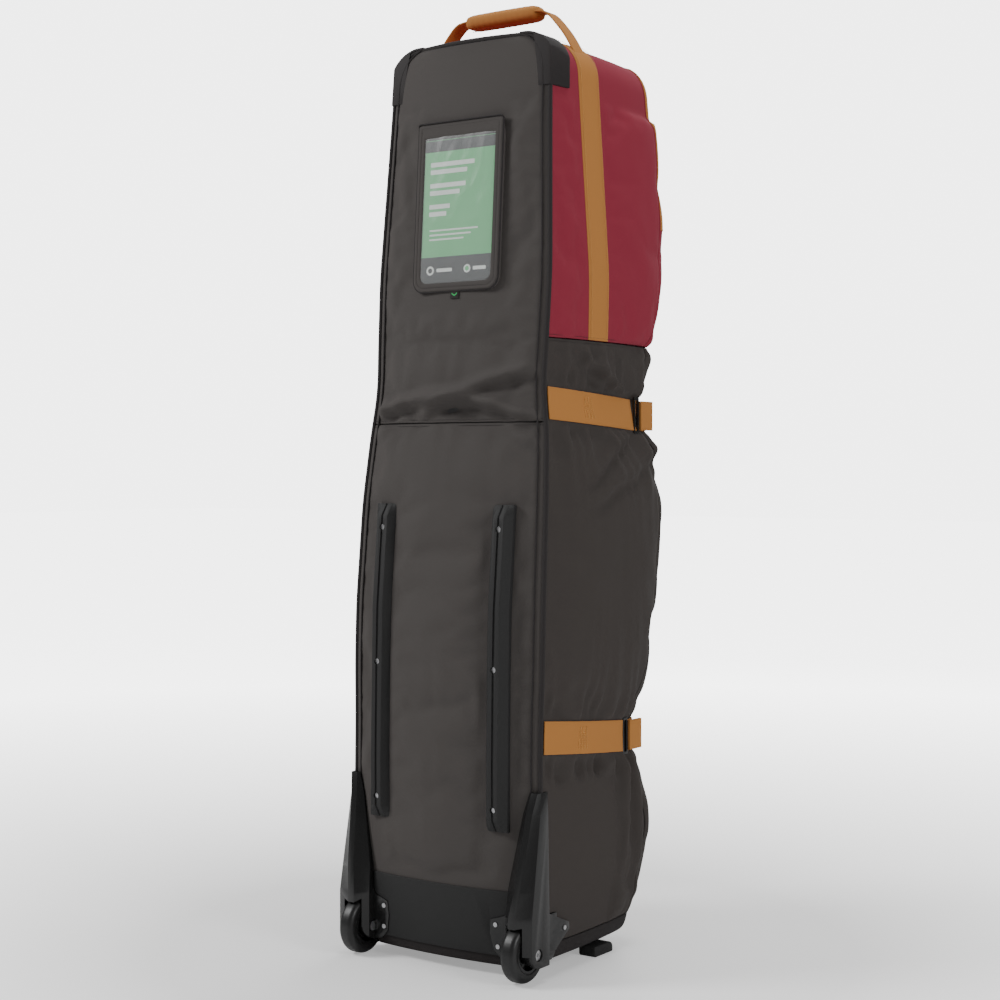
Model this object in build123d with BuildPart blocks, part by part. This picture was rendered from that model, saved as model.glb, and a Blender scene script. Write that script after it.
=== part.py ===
from build123d import *
import math
import os

# Wheeled soft-sided golf travel case, standing upright on its two wheels and two front feet.
#
# Millimetres. +Z is up, -Y is the padded back with the skid rails and wheels, +Y is the zipped front,
# +X is the case's own side seen on the right from behind. The origin is on the ground at the box centre.

# ---------------------------------------------------------------- driving dimensions
BACK_Y = -154.72  # back seam plane at the foot of the case
CASE_BOTTOM = 15.0  # ground clearance under the case
CASE_TOP = 1290.0
WALL = 5.0  # padded cloth wall
TOP_CORNER_R = 50.0  # rounded shoulders seen from behind
FOOT_CORNER_R = 22.0
FRONT_CORNER_R = 40.0  # vertical edges between side and front
FRONT_INSET = 3.0  # the front is this much narrower on each side

# height, lean of the back seam, depth, half width, crown of the back, bulge of the sides
STATIONS = [
    (CASE_BOTTOM, 0.0, 246.0, 152.0, 10.0, 4.0),
    (60.0, 0.0, 258.0, 157.0, 18.0, 7.0),
    (173.0, 0.0, 292.0, 159.0, 25.0, 13.0),
    (285.0, 0.5, 256.0, 158.0, 27.0, 7.0),
    (335.0, 1.0, 254.0, 158.0, 27.0, 7.0),
    (410.0, 2.5, 288.0, 160.0, 27.0, 13.0),
    (495.0, 5.0, 303.0, 160.0, 27.0, 15.0),
    (640.0, 16.0, 312.0, 157.0, 25.0, 14.0),
    (735.0, 27.0, 290.0, 151.0, 19.0, 8.0),
    (755.0, 28.5, 272.0, 148.0, 17.0, 6.0),
    (800.0, 31.7, 267.0, 142.0, 17.0, 6.0),
    (850.0, 35.0, 289.0, 144.0, 17.0, 10.0),
    (960.0, 42.2, 308.0, 146.0, 17.0, 12.0),
    (1190.0, 57.3, 293.0, 136.0, 17.0, 10.0),
    (CASE_TOP, 63.8, 276.0, 133.0, 10.0, 8.0),
]
BACK_SEAM_IN = 3.0  # the back panel wraps this far round onto the side
WAIST_SEAM = 751.0  # cross seam of the back panel
COLOUR_SEAM = 866.0  # foot of the coloured upper panels
BOOT_TOP = 46.0  # hard-wearing tray round the foot

WEBBING = 2.0  # thickness of every strap and tape
PLATE = 3.0  # thickness of the rubber guards and the housing's wings
PIPING_HALF = 2.6
GUARD_X, GUARD_Z, GUARD_DEPTH = 84.0, 1214.0, 38.0  # shoulder guards: inner x, foot, depth on the side
STRAP_WIDTH = 45.0
LOWER_STRAP = (327.0, 305.0)  # height at the back seam, height at the front corner
UPPER_STRAP = (777.0, 764.0)
RING_DEPTH, RING_THICKNESS = 13.0, 3.5
KEEPER_IN = 13.0  # the short front strap ends this far outside the opening
TAIL_LENGTH, TAIL_THICKNESS = 34.0, 4.6  # folded strap end beyond the ring
TAIL_START, TAIL_STANDOFF = 8.2, 4.0
RING_CLEAR = 2.3
SIDE_WEBBING_WIDTH = 50.0
SIDE_WEBBING_Y = (0.0, -8.7)  # centre at its foot and at the top

DOOR_HALF_WIDTH = 88.0
DOOR_BOTTOM = 112.0
DOOR_TOP = 1232.0
DOOR_CORNER_R = 55.0
ZIP_GAP = 1.0  # from the zip line to each edge
TAPE_WIDTH = 10.0
TAPE_START = 8.0  # the tapes begin this far above the opening's foot
SLIDER_Z = (1060.0, 1034.0)
SLIDER_SIZE, SLIDER_PLATE = (13.0, 17.0), 2.0
BRIDGE_HALF = 1.4
PULL_SHIFT, PULL_RISE, PIN_R = 4.0, 3.4, 1.0
PULL_LENGTH, PULL_WIDTH, PULL_THICKNESS = 46.0, 7.0, 2.0

WHEEL_R = 40.0
WHEEL_X = 138.2
WHEEL_WIDTH = 24.0
AXLE_Y = BACK_Y - 12.0
AXLE_R = 3.95
BEARING_BORE_R, BEARING_R, BEARING_WIDTH = 4.0, 11.0, 7.0
HUB_R = 27.0
HOUSING_TOP = 254.0
HUB_RIM_R, HUB_BOSS_R, HUB_WIDTH, HUB_WEB = 22.5, 14.0, 23.0, 6.0
HUB_HOLES, HUB_HOLE_R = 6, 2.6
WELL_X, WELL_R = (124.6, 152.2), 44.0
EAR_R = 17.0
HEAD_X, HEAD_R, HEAD_HEIGHT = 158.5, 7.0, 4.0
SOCKET_R, SOCKET_DEPTH = 2.9, 2.2
NUT_R, NUT_DEPTH = 7.2, 4.0
SPACER_R = 6.0
# height, inner x, crest x, crest, outer x, foot of the slope (the last three depths past the seam)
HOUSING_STATIONS = [
    (22.0, 117.3, 132.0, -38.0, 165.0, -22.0),
    (88.0, 117.3, 132.0, -38.0, 165.0, -22.0),
    (125.0, 119.0, 138.0, -32.0, 164.5, -18.0),
    (225.0, 137.0, 145.5, -15.0, 162.8, -9.0),
    (HOUSING_TOP, 146.0, 150.0, -9.0, 161.5, -6.5),
]
HOUSING_CREST = 10.0
HOUSING_SHOULDER = 9.0
HOUSING_SIDE = 13.0
SIDE_WING = [(6, 94), (60, 71), (62, 62), (38, 40), (32, 24), (6, 24)]
BACK_WING = [(119, 96), (112, 86), (89, 79), (87, 60), (92, 36), (104, 24), (119, 22)]
WING_SCREWS = [("back", 96.0, 72.0), ("back", 98.0, 42.0), ("side", 50.0, 65.0)]
SCREW_R, SCREW_SINK, SCREW_HEIGHT = 3.2, 1.0, 2.2
SIDE_SCREW_X = 163.6
KICK_Z = (29.0, 118.0)
FOOT_X, FOOT_Y = (125.0, 152.0), (148.0, 196.0)
WELL_BOX = (117.0, 36.0, 88.0)  # corner cut out of the cloth: inner x, depth past the seam, top

RAIL_X = 100.0
RAIL_Z = (198.0, 638.0)
RAIL_WIDTH, RAIL_CREST, RAIL_HEIGHT = 35.0, 17.0, 13.0
RAIL_NOSE = 17.0
RAIL_GROOVE = 1.8
RIVET_Z = (228.0, 416.5, 605.0)
RIVET_R, RIVET_SINK, RIVET_HEIGHT = 4.2, 2.6, 4.0

LABEL_Z = 1055.5
LABEL_SIZE = (146.0, 241.0)
LABEL_CORNER_R = 18.0
LABEL_FRAME_PROUD = 4.0
CARD_SIZE, CARD_THICKNESS, CARD_GAP = (122.0, 207.0), 0.8, 0.4
CARD_SLOT_FOOT = 9.0
WINDOW_SIZE, WINDOW_SHIFT, WINDOW_THICKNESS = (128.0, 207.0), -4.0, 0.6
TAG_SIZE, TAG_THICKNESS = (15.0, 13.0), 1.4

HANDLE_Y = -8.7
HANDLE_TOP = 1351.0
HANDLE_FOOT = (106.5, 1304.0)  # x, z where the arch leaves the shoulder; its hinge line
HANDLE_WIDTH, HANDLE_THICKNESS = 28.0, 2.4
GRIP_THICKNESS, GRIP_WIDTH, GRIP_HALF_LENGTH = 24.0, 36.0, 65.0
GRAB_Z = (55.0, 80.0)
GRAB_ENDS = (97.0, 132.0)
GRAB_STANDOFF = 17.0

BOARD = 2.4
BOARD_HALF = 132.0
BOARD_Z = (100.0, 1225.0)
INNER_STRAP_Z = (880.0, 918.0)
BUCKLE_SIZE, BUCKLE_THICKNESS = (56.0, 46.0), 6.0
PAD_THICKNESS = 18.0

FAR = 400.0
os.makedirs("parts", exist_ok=True)


# ---------------------------------------------------------------- helpers
def between(z, column):
    """A station column at height z, in a straight line between stations."""
    for low, high in zip(STATIONS, STATIONS[1:]):
        if z <= high[0]:
            share = (z - low[0]) / (high[0] - low[0])
            return low[column] + share * (high[column] - low[column])
    return STATIONS[-1][column]


def back_y(z):
    return BACK_Y + between(z, 1)


def front_y(z):
    return back_y(z) + between(z, 2)


def half_width(z):
    return between(z, 3)


def crest_y(z, x=0.0):
    """Outer face of the crowned back at height z, x to the side of its middle line."""
    half, crown = half_width(z), between(z, 4)
    radius = (half**2 + crown**2) / (2 * crown)
    return back_y(z) - crown + radius - math.sqrt(radius**2 - x**2)


def case_body(grow):
    """The whole case as one closed solid, grown outwards by grow (inwards if negative)."""
    with BuildPart() as body:
        for z, lean, depth, half, crown, bulge in STATIONS:
            level = min(max(z, CASE_BOTTOM - grow), CASE_TOP + grow)
            if z == CASE_BOTTOM:
                level = CASE_BOTTOM - grow
            if z == CASE_TOP:
                level = CASE_TOP + grow
            x_back, x_front = half + grow, half - FRONT_INSET + grow
            y_back, y_front = BACK_Y + lean - grow, BACK_Y + lean + depth + grow
            corner = FRONT_CORNER_R + grow
            inset = corner * (1 - math.sqrt(0.5))
            y_corner = y_front - corner
            x_mid = (x_back + x_front) / 2 + bulge
            with BuildSketch(Plane.XY.offset(level)):
                with BuildLine():
                    ThreePointArc((-x_back, y_back), (0, y_back - crown), (x_back, y_back))
                    ThreePointArc((x_back, y_back), (x_mid, (y_back + y_corner) / 2), (x_front, y_corner))
                    ThreePointArc(
                        (x_front, y_corner), (x_front - inset, y_front - inset), (x_front - corner, y_front)
                    )
                    Line((x_front - corner, y_front), (corner - x_front, y_front))
                    ThreePointArc(
                        (corner - x_front, y_front), (inset - x_front, y_front - inset), (-x_front, y_corner)
                    )
                    ThreePointArc((-x_front, y_corner), (-x_mid, (y_back + y_corner) / 2), (-x_back, y_back))
                make_face()
        loft(ruled=True)
        for z, radius, sign in ((CASE_TOP, TOP_CORNER_R, 1), (CASE_BOTTOM, FOOT_CORNER_R, -1)):
            x_middle = half_width(z) + between(z, 5) - radius
            z_middle = z - sign * radius
            with BuildSketch(Plane.XZ):
                for side in (-1, 1):
                    outside = (Align.MAX if side < 0 else Align.MIN, Align.MAX if sign < 0 else Align.MIN)
                    with Locations((side * x_middle, z_middle)):
                        Rectangle(FAR, FAR, align=outside)
                for side in (-1, 1):
                    with Locations((side * x_middle, z_middle)):
                        Circle(radius + grow, mode=Mode.SUBTRACT)
            extrude(amount=FAR, both=True, mode=Mode.SUBTRACT)
    return body.part


def block(x, y, z):
    """Box from three (low, high) pairs."""
    with BuildPart() as solid:
        with Locations(((x[0] + x[1]) / 2, (y[0] + y[1]) / 2, (z[0] + z[1]) / 2)):
            Box(abs(x[1] - x[0]), y[1] - y[0], z[1] - z[0])
    return solid.part


def zone(plane, points, near=-FAR, far=FAR):
    """A closed outline pushed along the plane's normal from near to far, for cutting pieces out."""
    with BuildPart() as solid:
        with BuildSketch(plane.offset(near)):
            with BuildLine():
                Polyline(*points, close=True)
            make_face()
        extrude(amount=far - near)
    return solid.part


def cut(source, keep=(), remove=()):
    """What is left of source inside every keep solid and outside every remove solid."""
    with BuildPart() as piece:
        add(source)
        for solid in keep:
            add(solid, mode=Mode.INTERSECT)
        for solid in remove:
            add(solid, mode=Mode.SUBTRACT)
    return piece.part


def beside(line_y, reach):
    """Side-view outline from reach to the line y = line_y(z), station by station."""
    line = [(line_y(CASE_BOTTOM), -20.0)]
    line += [(line_y(station[0]), station[0]) for station in STATIONS]
    line += [(line_y(CASE_TOP), CASE_TOP + 40.0)]
    return line + [(reach, CASE_TOP + 40.0), (reach, -20.0)]


def sloped_band(heights, width, y_low, y_high):
    """Side-view band whose middle runs from heights[0] at y_low to heights[1] at y_high."""
    half = width / 2
    return [
        (y_low, heights[0] - half),
        (y_high, heights[1] - half),
        (y_high, heights[1] + half),
        (y_low, heights[0] + half),
    ]


def door_zone(grow):
    """The zipped opening, grown outwards by grow, pushed through the front of the case."""
    with BuildPart() as solid:
        with BuildSketch(Plane.XZ.offset(-FAR)) as outline:
            with Locations((0, (DOOR_BOTTOM + DOOR_TOP) / 2)):
                Rectangle(2 * (DOOR_HALF_WIDTH + grow), DOOR_TOP - DOOR_BOTTOM + 2 * grow)
            fillet(outline.vertices().group_by(Axis.Z)[-1], DOOR_CORNER_R + grow)
        extrude(amount=FAR - 40.0)
    return solid.part


def rod(x, y, z, radius):
    """Round bar along X between the two ends of x."""
    with BuildPart() as solid:
        with BuildSketch(Plane.YZ.offset(x[0])):
            with Locations((y, z)):
                Circle(radius)
        extrude(amount=x[1] - x[0])
    return solid.part


def ring_inside(z):
    """Inner face of a strap ring at height z, clear of the widest cloth beside it."""
    return half_width(z - STRAP_WIDTH / 2 - 4) - FRONT_INSET + RING_CLEAR


def wing_screw(side, place, grow=0.0):
    """One screw head let into a housing wing; place is ("back", x, z) or ("side", y, z)."""
    face, across, z = place
    with BuildPart() as screw:
        if face == "back":
            with BuildSketch(Plane.XZ.offset(-crest_y(z, across) + PLATE - SCREW_SINK)):
                with Locations((side * across, z)):
                    Circle(SCREW_R)
            extrude(amount=SCREW_HEIGHT + grow)
        else:
            x_face = SIDE_SCREW_X
            with BuildSketch(Plane.YZ.offset(side * x_face)):
                with Locations((BACK_Y + across, z)):
                    Circle(SCREW_R)
            extrude(amount=side * (SCREW_HEIGHT + grow))
    return screw.part


def save(piece, name):
    piece.label = name
    export_step(piece, "parts/" + name + ".step")


# ---------------------------------------------------------------- the cloth case
outer = case_body(0)
wall = cut(outer, remove=[case_body(-WALL)])
webbing_layer = cut(case_body(WEBBING), remove=[outer])
plate_layer = cut(case_body(PLATE), remove=[outer])

everywhere = (-FAR, FAR)
halves = {
    "left": block((-FAR, 0), everywhere, (-FAR, 2000)),
    "right": block((0, FAR), everywhere, (-FAR, 2000)),
}
wells = [
    block((side * WELL_BOX[0], side * FAR)[::side], (-FAR, BACK_Y + WELL_BOX[1]), (-10, WELL_BOX[2]))
    for side in (-1, 1)
]
back_zone = zone(Plane.YZ, beside(lambda z: back_y(z) + BACK_SEAM_IN, -FAR))
front_zone = zone(Plane.YZ, beside(lambda z: front_y(z) - FRONT_CORNER_R, FAR))
boot_zone = block(everywhere, everywhere, (-10, BOOT_TOP))
lower_zone = block(everywhere, everywhere, (BOOT_TOP, COLOUR_SEAM))
upper_zone = block(everywhere, everywhere, (COLOUR_SEAM, CASE_TOP + 20))
flat_top = half_width(CASE_TOP) + between(CASE_TOP, 5) - TOP_CORNER_R
top_zone = block((-flat_top, flat_top), everywhere, (CASE_TOP - WALL - 5, CASE_TOP + 20))

save(cut(wall, keep=[boot_zone], remove=wells), "base_boot")
back_whole = cut(wall, keep=[back_zone], remove=[boot_zone] + wells)
for name, low, high in (("back_panel_lower", 0, WAIST_SEAM), ("back_panel_upper", WAIST_SEAM, 2000)):
    save(cut(back_whole, keep=[block(everywhere, everywhere, (low, high))]), name)

gusset = cut(wall, remove=[back_zone, front_zone, boot_zone] + wells)
for hand, half_zone in halves.items():
    save(cut(gusset, keep=[half_zone, lower_zone]), "side_panel_lower_" + hand)
    save(cut(gusset, keep=[half_zone, upper_zone], remove=[top_zone]), "side_panel_upper_" + hand)
save(cut(gusset, keep=[top_zone]), "top_panel")

front = cut(wall, keep=[front_zone], remove=[boot_zone])
surround = cut(front, remove=[door_zone(ZIP_GAP)])
save(cut(surround, keep=[lower_zone]), "front_surround_lower")
save(cut(surround, keep=[upper_zone]), "front_surround_upper")
door = cut(front, keep=[door_zone(-ZIP_GAP)])
save(cut(door, keep=[lower_zone]), "door_lower")
save(cut(door, keep=[upper_zone]), "door_upper")

# ---------------------------------------------------------------- zip tapes and piping
tape_rise = block(everywhere, everywhere, (DOOR_BOTTOM + TAPE_START, 2000))
outer_tape = cut(
    webbing_layer, keep=[door_zone(ZIP_GAP + TAPE_WIDTH), tape_rise], remove=[door_zone(ZIP_GAP)]
)
save(outer_tape, "zip_tape_outer")
inner_tape = cut(
    webbing_layer, keep=[door_zone(-ZIP_GAP), tape_rise], remove=[door_zone(-ZIP_GAP - TAPE_WIDTH)]
)
save(inner_tape, "zip_tape_inner")

guard_zones = [
    block((side * GUARD_X, side * FAR)[::side], everywhere, (GUARD_Z, 2000)) for side in (-1, 1)
]
guard_depth = zone(Plane.YZ, beside(lambda z: back_y(z) + GUARD_DEPTH, -FAR))
guard_face = zone(Plane.YZ, beside(lambda z: back_y(z) - PIPING_HALF - 1, -FAR))
with BuildPart() as corner_guards:
    for guard_zone in guard_zones:
        add(cut(plate_layer, keep=[guard_zone, guard_depth], remove=[guard_face]))
save(corner_guards.part, "corner_guards")

piping_front = zone(Plane.YZ, beside(lambda z: back_y(z) + PIPING_HALF, -FAR))
piping_back = zone(Plane.YZ, beside(lambda z: back_y(z) - PIPING_HALF, -FAR))
piping_rise = block(everywhere, everywhere, (HOUSING_TOP + 4, 2000))
piping = cut(webbing_layer, keep=[piping_front, piping_rise], remove=[piping_back] + guard_zones)
save(piping, "back_piping")

# ---------------------------------------------------------------- straps and webbing
for level, heights in (("upper", UPPER_STRAP), ("lower", LOWER_STRAP)):
    y_start = back_y(heights[0] + STRAP_WIDTH / 2) + PIPING_HALF + 1
    y_ring = front_y(heights[1]) - FRONT_CORNER_R
    band = zone(Plane.YZ, sloped_band(heights, STRAP_WIDTH, y_start, y_ring - RING_DEPTH / 2))
    keeper_band = sloped_band((heights[1], heights[1]), STRAP_WIDTH, y_ring + RING_DEPTH / 2, FAR)
    keeper = zone(Plane.YZ, keeper_band)
    margin = block((-DOOR_HALF_WIDTH - KEEPER_IN, DOOR_HALF_WIDTH + KEEPER_IN), everywhere, (0, 2000))
    for hand, half_zone in halves.items():
        with BuildPart() as strap:
            add(cut(webbing_layer, keep=[half_zone, band]))
            add(cut(webbing_layer, keep=[half_zone, keeper], remove=[margin]))
        save(strap.part, level + "_strap_" + hand)
        side = -1 if hand == "left" else 1
        x_ring = side * (ring_inside(heights[1]) + TAIL_STANDOFF)
        with BuildPart() as tail:
            with BuildSketch(Plane.XY.offset(heights[1] - STRAP_WIDTH / 2 + 1)):
                with Locations((x_ring, y_ring + TAIL_START)):
                    SlotOverall(TAIL_LENGTH, TAIL_THICKNESS, rotation=90, align=(Align.MIN, Align.CENTER))
            extrude(amount=STRAP_WIDTH - 2)
        save(tail.part, level + "_strap_tail_" + hand)

with BuildPart() as strap_rings:
    for heights in (UPPER_STRAP, LOWER_STRAP):
        y_ring = front_y(heights[1]) - FRONT_CORNER_R
        for side in (-1, 1):
            x_ring = side * ring_inside(heights[1])
            with BuildSketch(Plane.YZ.offset(x_ring if side > 0 else x_ring - RING_THICKNESS)):
                with Locations((y_ring, heights[1])):
                    RectangleRounded(RING_DEPTH, STRAP_WIDTH + 8, 2.0)
                    RectangleRounded(RING_DEPTH - 6, STRAP_WIDTH, 1.0, mode=Mode.SUBTRACT)
            extrude(amount=RING_THICKNESS)
save(strap_rings.part, "strap_rings")

side_band = zone(
    Plane.YZ,
    [
        (SIDE_WEBBING_Y[0] - SIDE_WEBBING_WIDTH / 2, COLOUR_SEAM),
        (SIDE_WEBBING_Y[0] + SIDE_WEBBING_WIDTH / 2, COLOUR_SEAM),
        (SIDE_WEBBING_Y[1] + SIDE_WEBBING_WIDTH / 2, CASE_TOP + 20),
        (SIDE_WEBBING_Y[1] - SIDE_WEBBING_WIDTH / 2, CASE_TOP + 20),
    ],
)
for hand, half_zone in halves.items():
    side_webbing = cut(webbing_layer, keep=[half_zone, side_band], remove=[top_zone])
    save(side_webbing, "side_webbing_" + hand)

grab_y = front_y(GRAB_Z[0])
grab_band = zone(Plane.YZ, [(0, GRAB_Z[0]), (FAR, GRAB_Z[0]), (FAR, GRAB_Z[1]), (0, GRAB_Z[1])])
grab_middle = block((-GRAB_ENDS[0], GRAB_ENDS[0]), everywhere, (0, 2000))
grab_side = block((-GRAB_ENDS[1], GRAB_ENDS[1]), everywhere, (0, 2000))
with BuildPart() as grab_handle:
    add(cut(webbing_layer, keep=[grab_band, grab_side], remove=[grab_middle]))
    with BuildSketch(Plane.XY.offset(GRAB_Z[0])):
        with BuildLine():
            Polyline(
                (-GRAB_ENDS[0] - 4, grab_y + 1),
                (-GRAB_ENDS[0] + 14, grab_y + GRAB_STANDOFF),
                (GRAB_ENDS[0] - 14, grab_y + GRAB_STANDOFF),
                (GRAB_ENDS[0] + 4, grab_y + 1),
            )
        trace(line_width=WEBBING + 1)
    extrude(amount=GRAB_Z[1] - GRAB_Z[0])
    add(outer, mode=Mode.SUBTRACT)
save(grab_handle.part, "grab_handle")

# ---------------------------------------------------------------- top handle
with BuildPart() as handle_grip:
    with BuildSketch(Plane.YZ.offset(-GRIP_HALF_LENGTH)):
        with Locations((HANDLE_Y, HANDLE_TOP - GRIP_THICKNESS / 2)):
            RectangleRounded(GRIP_WIDTH, GRIP_THICKNESS, GRIP_THICKNESS / 2 - 1)
    extrude(amount=2 * GRIP_HALF_LENGTH)
    fillet(handle_grip.faces().filter_by(Axis.X).edges(), 5)
    with BuildSketch(Plane.XZ.offset(-HANDLE_Y)):
        with Locations((0, HANDLE_TOP - GRIP_THICKNESS / 2)):
            Rectangle(2 * GRIP_HALF_LENGTH, HANDLE_THICKNESS)
    extrude(amount=HANDLE_WIDTH / 2, both=True, mode=Mode.SUBTRACT)
save(handle_grip.part, "handle_grip")

with BuildPart() as handle_webbing:
    grip_middle = HANDLE_TOP - GRIP_THICKNESS / 2
    with BuildSketch(Plane.XZ.offset(-HANDLE_Y)):
        with BuildLine():
            FilletPolyline(
                (-HANDLE_FOOT[0], HANDLE_FOOT[1]),
                (-GRIP_HALF_LENGTH - 9, grip_middle),
                (GRIP_HALF_LENGTH + 9, grip_middle),
                (HANDLE_FOOT[0], HANDLE_FOOT[1]),
                radius=12,
            )
        trace(line_width=HANDLE_THICKNESS)
    extrude(amount=HANDLE_WIDTH / 2, both=True)
save(handle_webbing.part, "handle_webbing")

# ---------------------------------------------------------------- wheels, axles and housings
for hand, side in (("left", -1), ("right", 1)):
    middle = side * WHEEL_X
    with BuildPart() as tyre:
        with BuildSketch(Plane.YZ.offset(middle - WHEEL_WIDTH / 2)):
            with Locations((AXLE_Y, WHEEL_R)):
                Circle(WHEEL_R)
                Circle(HUB_R, mode=Mode.SUBTRACT)
        extrude(amount=WHEEL_WIDTH)
        fillet(tyre.edges().filter_by(GeomType.CIRCLE).filter_by(lambda e: e.radius > HUB_R + 1), 8)
    save(tyre.part, "tyre_" + hand)

    with BuildPart() as hub:
        with BuildSketch(Plane.YZ.offset(middle)):
            with Locations((AXLE_Y, WHEEL_R)):
                Circle(HUB_R)
                Circle(HUB_RIM_R, mode=Mode.SUBTRACT)
                Circle(HUB_BOSS_R)
        extrude(amount=HUB_WIDTH / 2, both=True)
        with BuildSketch(Plane.YZ.offset(middle)):
            with Locations((AXLE_Y, WHEEL_R)):
                Circle(HUB_RIM_R)
                with PolarLocations((HUB_RIM_R + HUB_BOSS_R) / 2, HUB_HOLES):
                    Circle(HUB_HOLE_R, mode=Mode.SUBTRACT)
        extrude(amount=HUB_WEB / 2, both=True)
        for face in (-1, 1):
            bearing_end = middle + face * HUB_WIDTH / 2
            bearing_inside = bearing_end - face * BEARING_WIDTH
            add(rod(sorted((bearing_end, bearing_inside)), AXLE_Y, WHEEL_R, BEARING_R), mode=Mode.SUBTRACT)
        between_bearings = (middle - HUB_WIDTH / 2, middle + HUB_WIDTH / 2)
        add(rod(between_bearings, AXLE_Y, WHEEL_R, BEARING_R - 3), mode=Mode.SUBTRACT)
    save(hub.part, "hub_" + hand)

    with BuildPart() as bearings:
        for face in (-1, 1):
            start = middle + (HUB_WIDTH / 2 - BEARING_WIDTH if face > 0 else -HUB_WIDTH / 2)
            with BuildSketch(Plane.YZ.offset(start)):
                with Locations((AXLE_Y, WHEEL_R)):
                    Circle(BEARING_R)
                    Circle(BEARING_BORE_R, mode=Mode.SUBTRACT)
            extrude(amount=BEARING_WIDTH)
    save(bearings.part, "bearings_" + hand)

    ear_in, ear_out = (side * x for x in WELL_X)
    nut_x = side * WELL_BOX[0]
    head_x = side * HEAD_X
    with BuildPart() as axle_bolt:
        add(rod(sorted((nut_x, head_x)), AXLE_Y, WHEEL_R, AXLE_R))
        add(rod(sorted((head_x, head_x + side * HEAD_HEIGHT)), AXLE_Y, WHEEL_R, HEAD_R))
        with BuildSketch(Plane.YZ.offset(head_x + side * HEAD_HEIGHT)):
            with Locations((AXLE_Y, WHEEL_R)):
                RegularPolygon(SOCKET_R, 6)
        extrude(amount=-side * SOCKET_DEPTH, mode=Mode.SUBTRACT)
    save(axle_bolt.part, "axle_bolt_" + hand)

    with BuildPart() as housing:
        for height, x_in, x_crest, crest, x_side, y_slope in HOUSING_STATIONS:
            with BuildSketch(Plane.XY.offset(height)):
                with BuildLine():
                    Polyline(
                        (side * x_in, BACK_Y + HOUSING_SIDE),
                        (side * x_in, BACK_Y + y_slope),
                        (side * x_crest, BACK_Y + crest),
                        (side * (x_crest + HOUSING_CREST), BACK_Y + crest),
                        (side * x_side, BACK_Y + crest + HOUSING_SHOULDER),
                        (side * x_side, BACK_Y + HOUSING_SIDE),
                        close=True,
                    )
                make_face()
        loft(ruled=True)
        add(outer, mode=Mode.SUBTRACT)
        add(cut(outer, keep=[wells[0 if side < 0 else 1]]))
        side_wing = zone(Plane.YZ, [(BACK_Y + y, z) for y, z in SIDE_WING])
        wing_outline = [(side * x, z) for x, z in BACK_WING]
        back_wing = zone(Plane.XZ, wing_outline, near=-BACK_Y - HOUSING_SIDE, far=FAR)
        add(cut(plate_layer, keep=[side_wing, halves[hand]]))
        add(cut(plate_layer, keep=[back_wing]))
        for place in WING_SCREWS:
            add(wing_screw(side, place, grow=10), mode=Mode.SUBTRACT)
        # wheel well, open to the ground
        with BuildSketch(Plane.YZ.offset(ear_in)):
            with Locations((AXLE_Y, WHEEL_R)):
                Circle(WELL_R)
            with Locations((AXLE_Y, WHEEL_R)):
                Rectangle(2 * WELL_R, FAR, align=(Align.CENTER, Align.MAX))
        extrude(amount=ear_out - ear_in, mode=Mode.SUBTRACT)
        # the ears are rounded about the axle behind it
        with BuildSketch(Plane.YZ.offset(side * (WELL_BOX[0] - 20))):
            with Locations((AXLE_Y, WHEEL_R)):
                Rectangle(FAR, FAR, align=(Align.MAX, Align.MAX))
                Circle(EAR_R, mode=Mode.SUBTRACT)
        extrude(amount=side * 100, mode=Mode.SUBTRACT)
        add(rod(sorted((nut_x - side * 5, side * 180)), AXLE_Y, WHEEL_R, AXLE_R + 0.15), mode=Mode.SUBTRACT)
        add(rod(sorted((head_x, side * 180)), AXLE_Y, WHEEL_R, HEAD_R + 1), mode=Mode.SUBTRACT)
        nut_seat = rod(sorted((nut_x - side, nut_x + side * NUT_DEPTH)), AXLE_Y, WHEEL_R, NUT_R + 0.4)
        add(nut_seat, mode=Mode.SUBTRACT)
    save(housing.part, "wheel_housing_" + hand)

with BuildPart() as axle_nuts:
    for side in (-1, 1):
        nut_x = side * WELL_BOX[0]
        with BuildSketch(Plane.YZ.offset(nut_x)):
            with Locations((AXLE_Y, WHEEL_R)):
                RegularPolygon(NUT_R, 6)
                Circle(AXLE_R, mode=Mode.SUBTRACT)
        extrude(amount=side * NUT_DEPTH)
        for inside, outside in ((WELL_X[0], WHEEL_X - HUB_WIDTH / 2), (WHEEL_X + HUB_WIDTH / 2, WELL_X[1])):
            with BuildSketch(Plane.YZ.offset(side * (inside + 0.1))):
                with Locations((AXLE_Y, WHEEL_R)):
                    Circle(SPACER_R)
                    Circle(AXLE_R, mode=Mode.SUBTRACT)
            extrude(amount=side * (outside - inside - 0.2))
save(axle_nuts.part, "axle_nuts")

wing_zones = [
    zone(Plane.XZ, [(side * x, z) for x, z in BACK_WING], near=-BACK_Y - HOUSING_SIDE, far=FAR)
    for side in (-1, 1)
]
kick_zone = block((-WELL_BOX[0], WELL_BOX[0]), (-FAR, BACK_Y + 1), KICK_Z)
save(cut(webbing_layer, keep=[kick_zone], remove=wing_zones), "kick_plate")

with BuildPart() as housing_screws:
    for side in (-1, 1):
        for place in WING_SCREWS:
            add(wing_screw(side, place))
save(housing_screws.part, "housing_screws")

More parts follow.
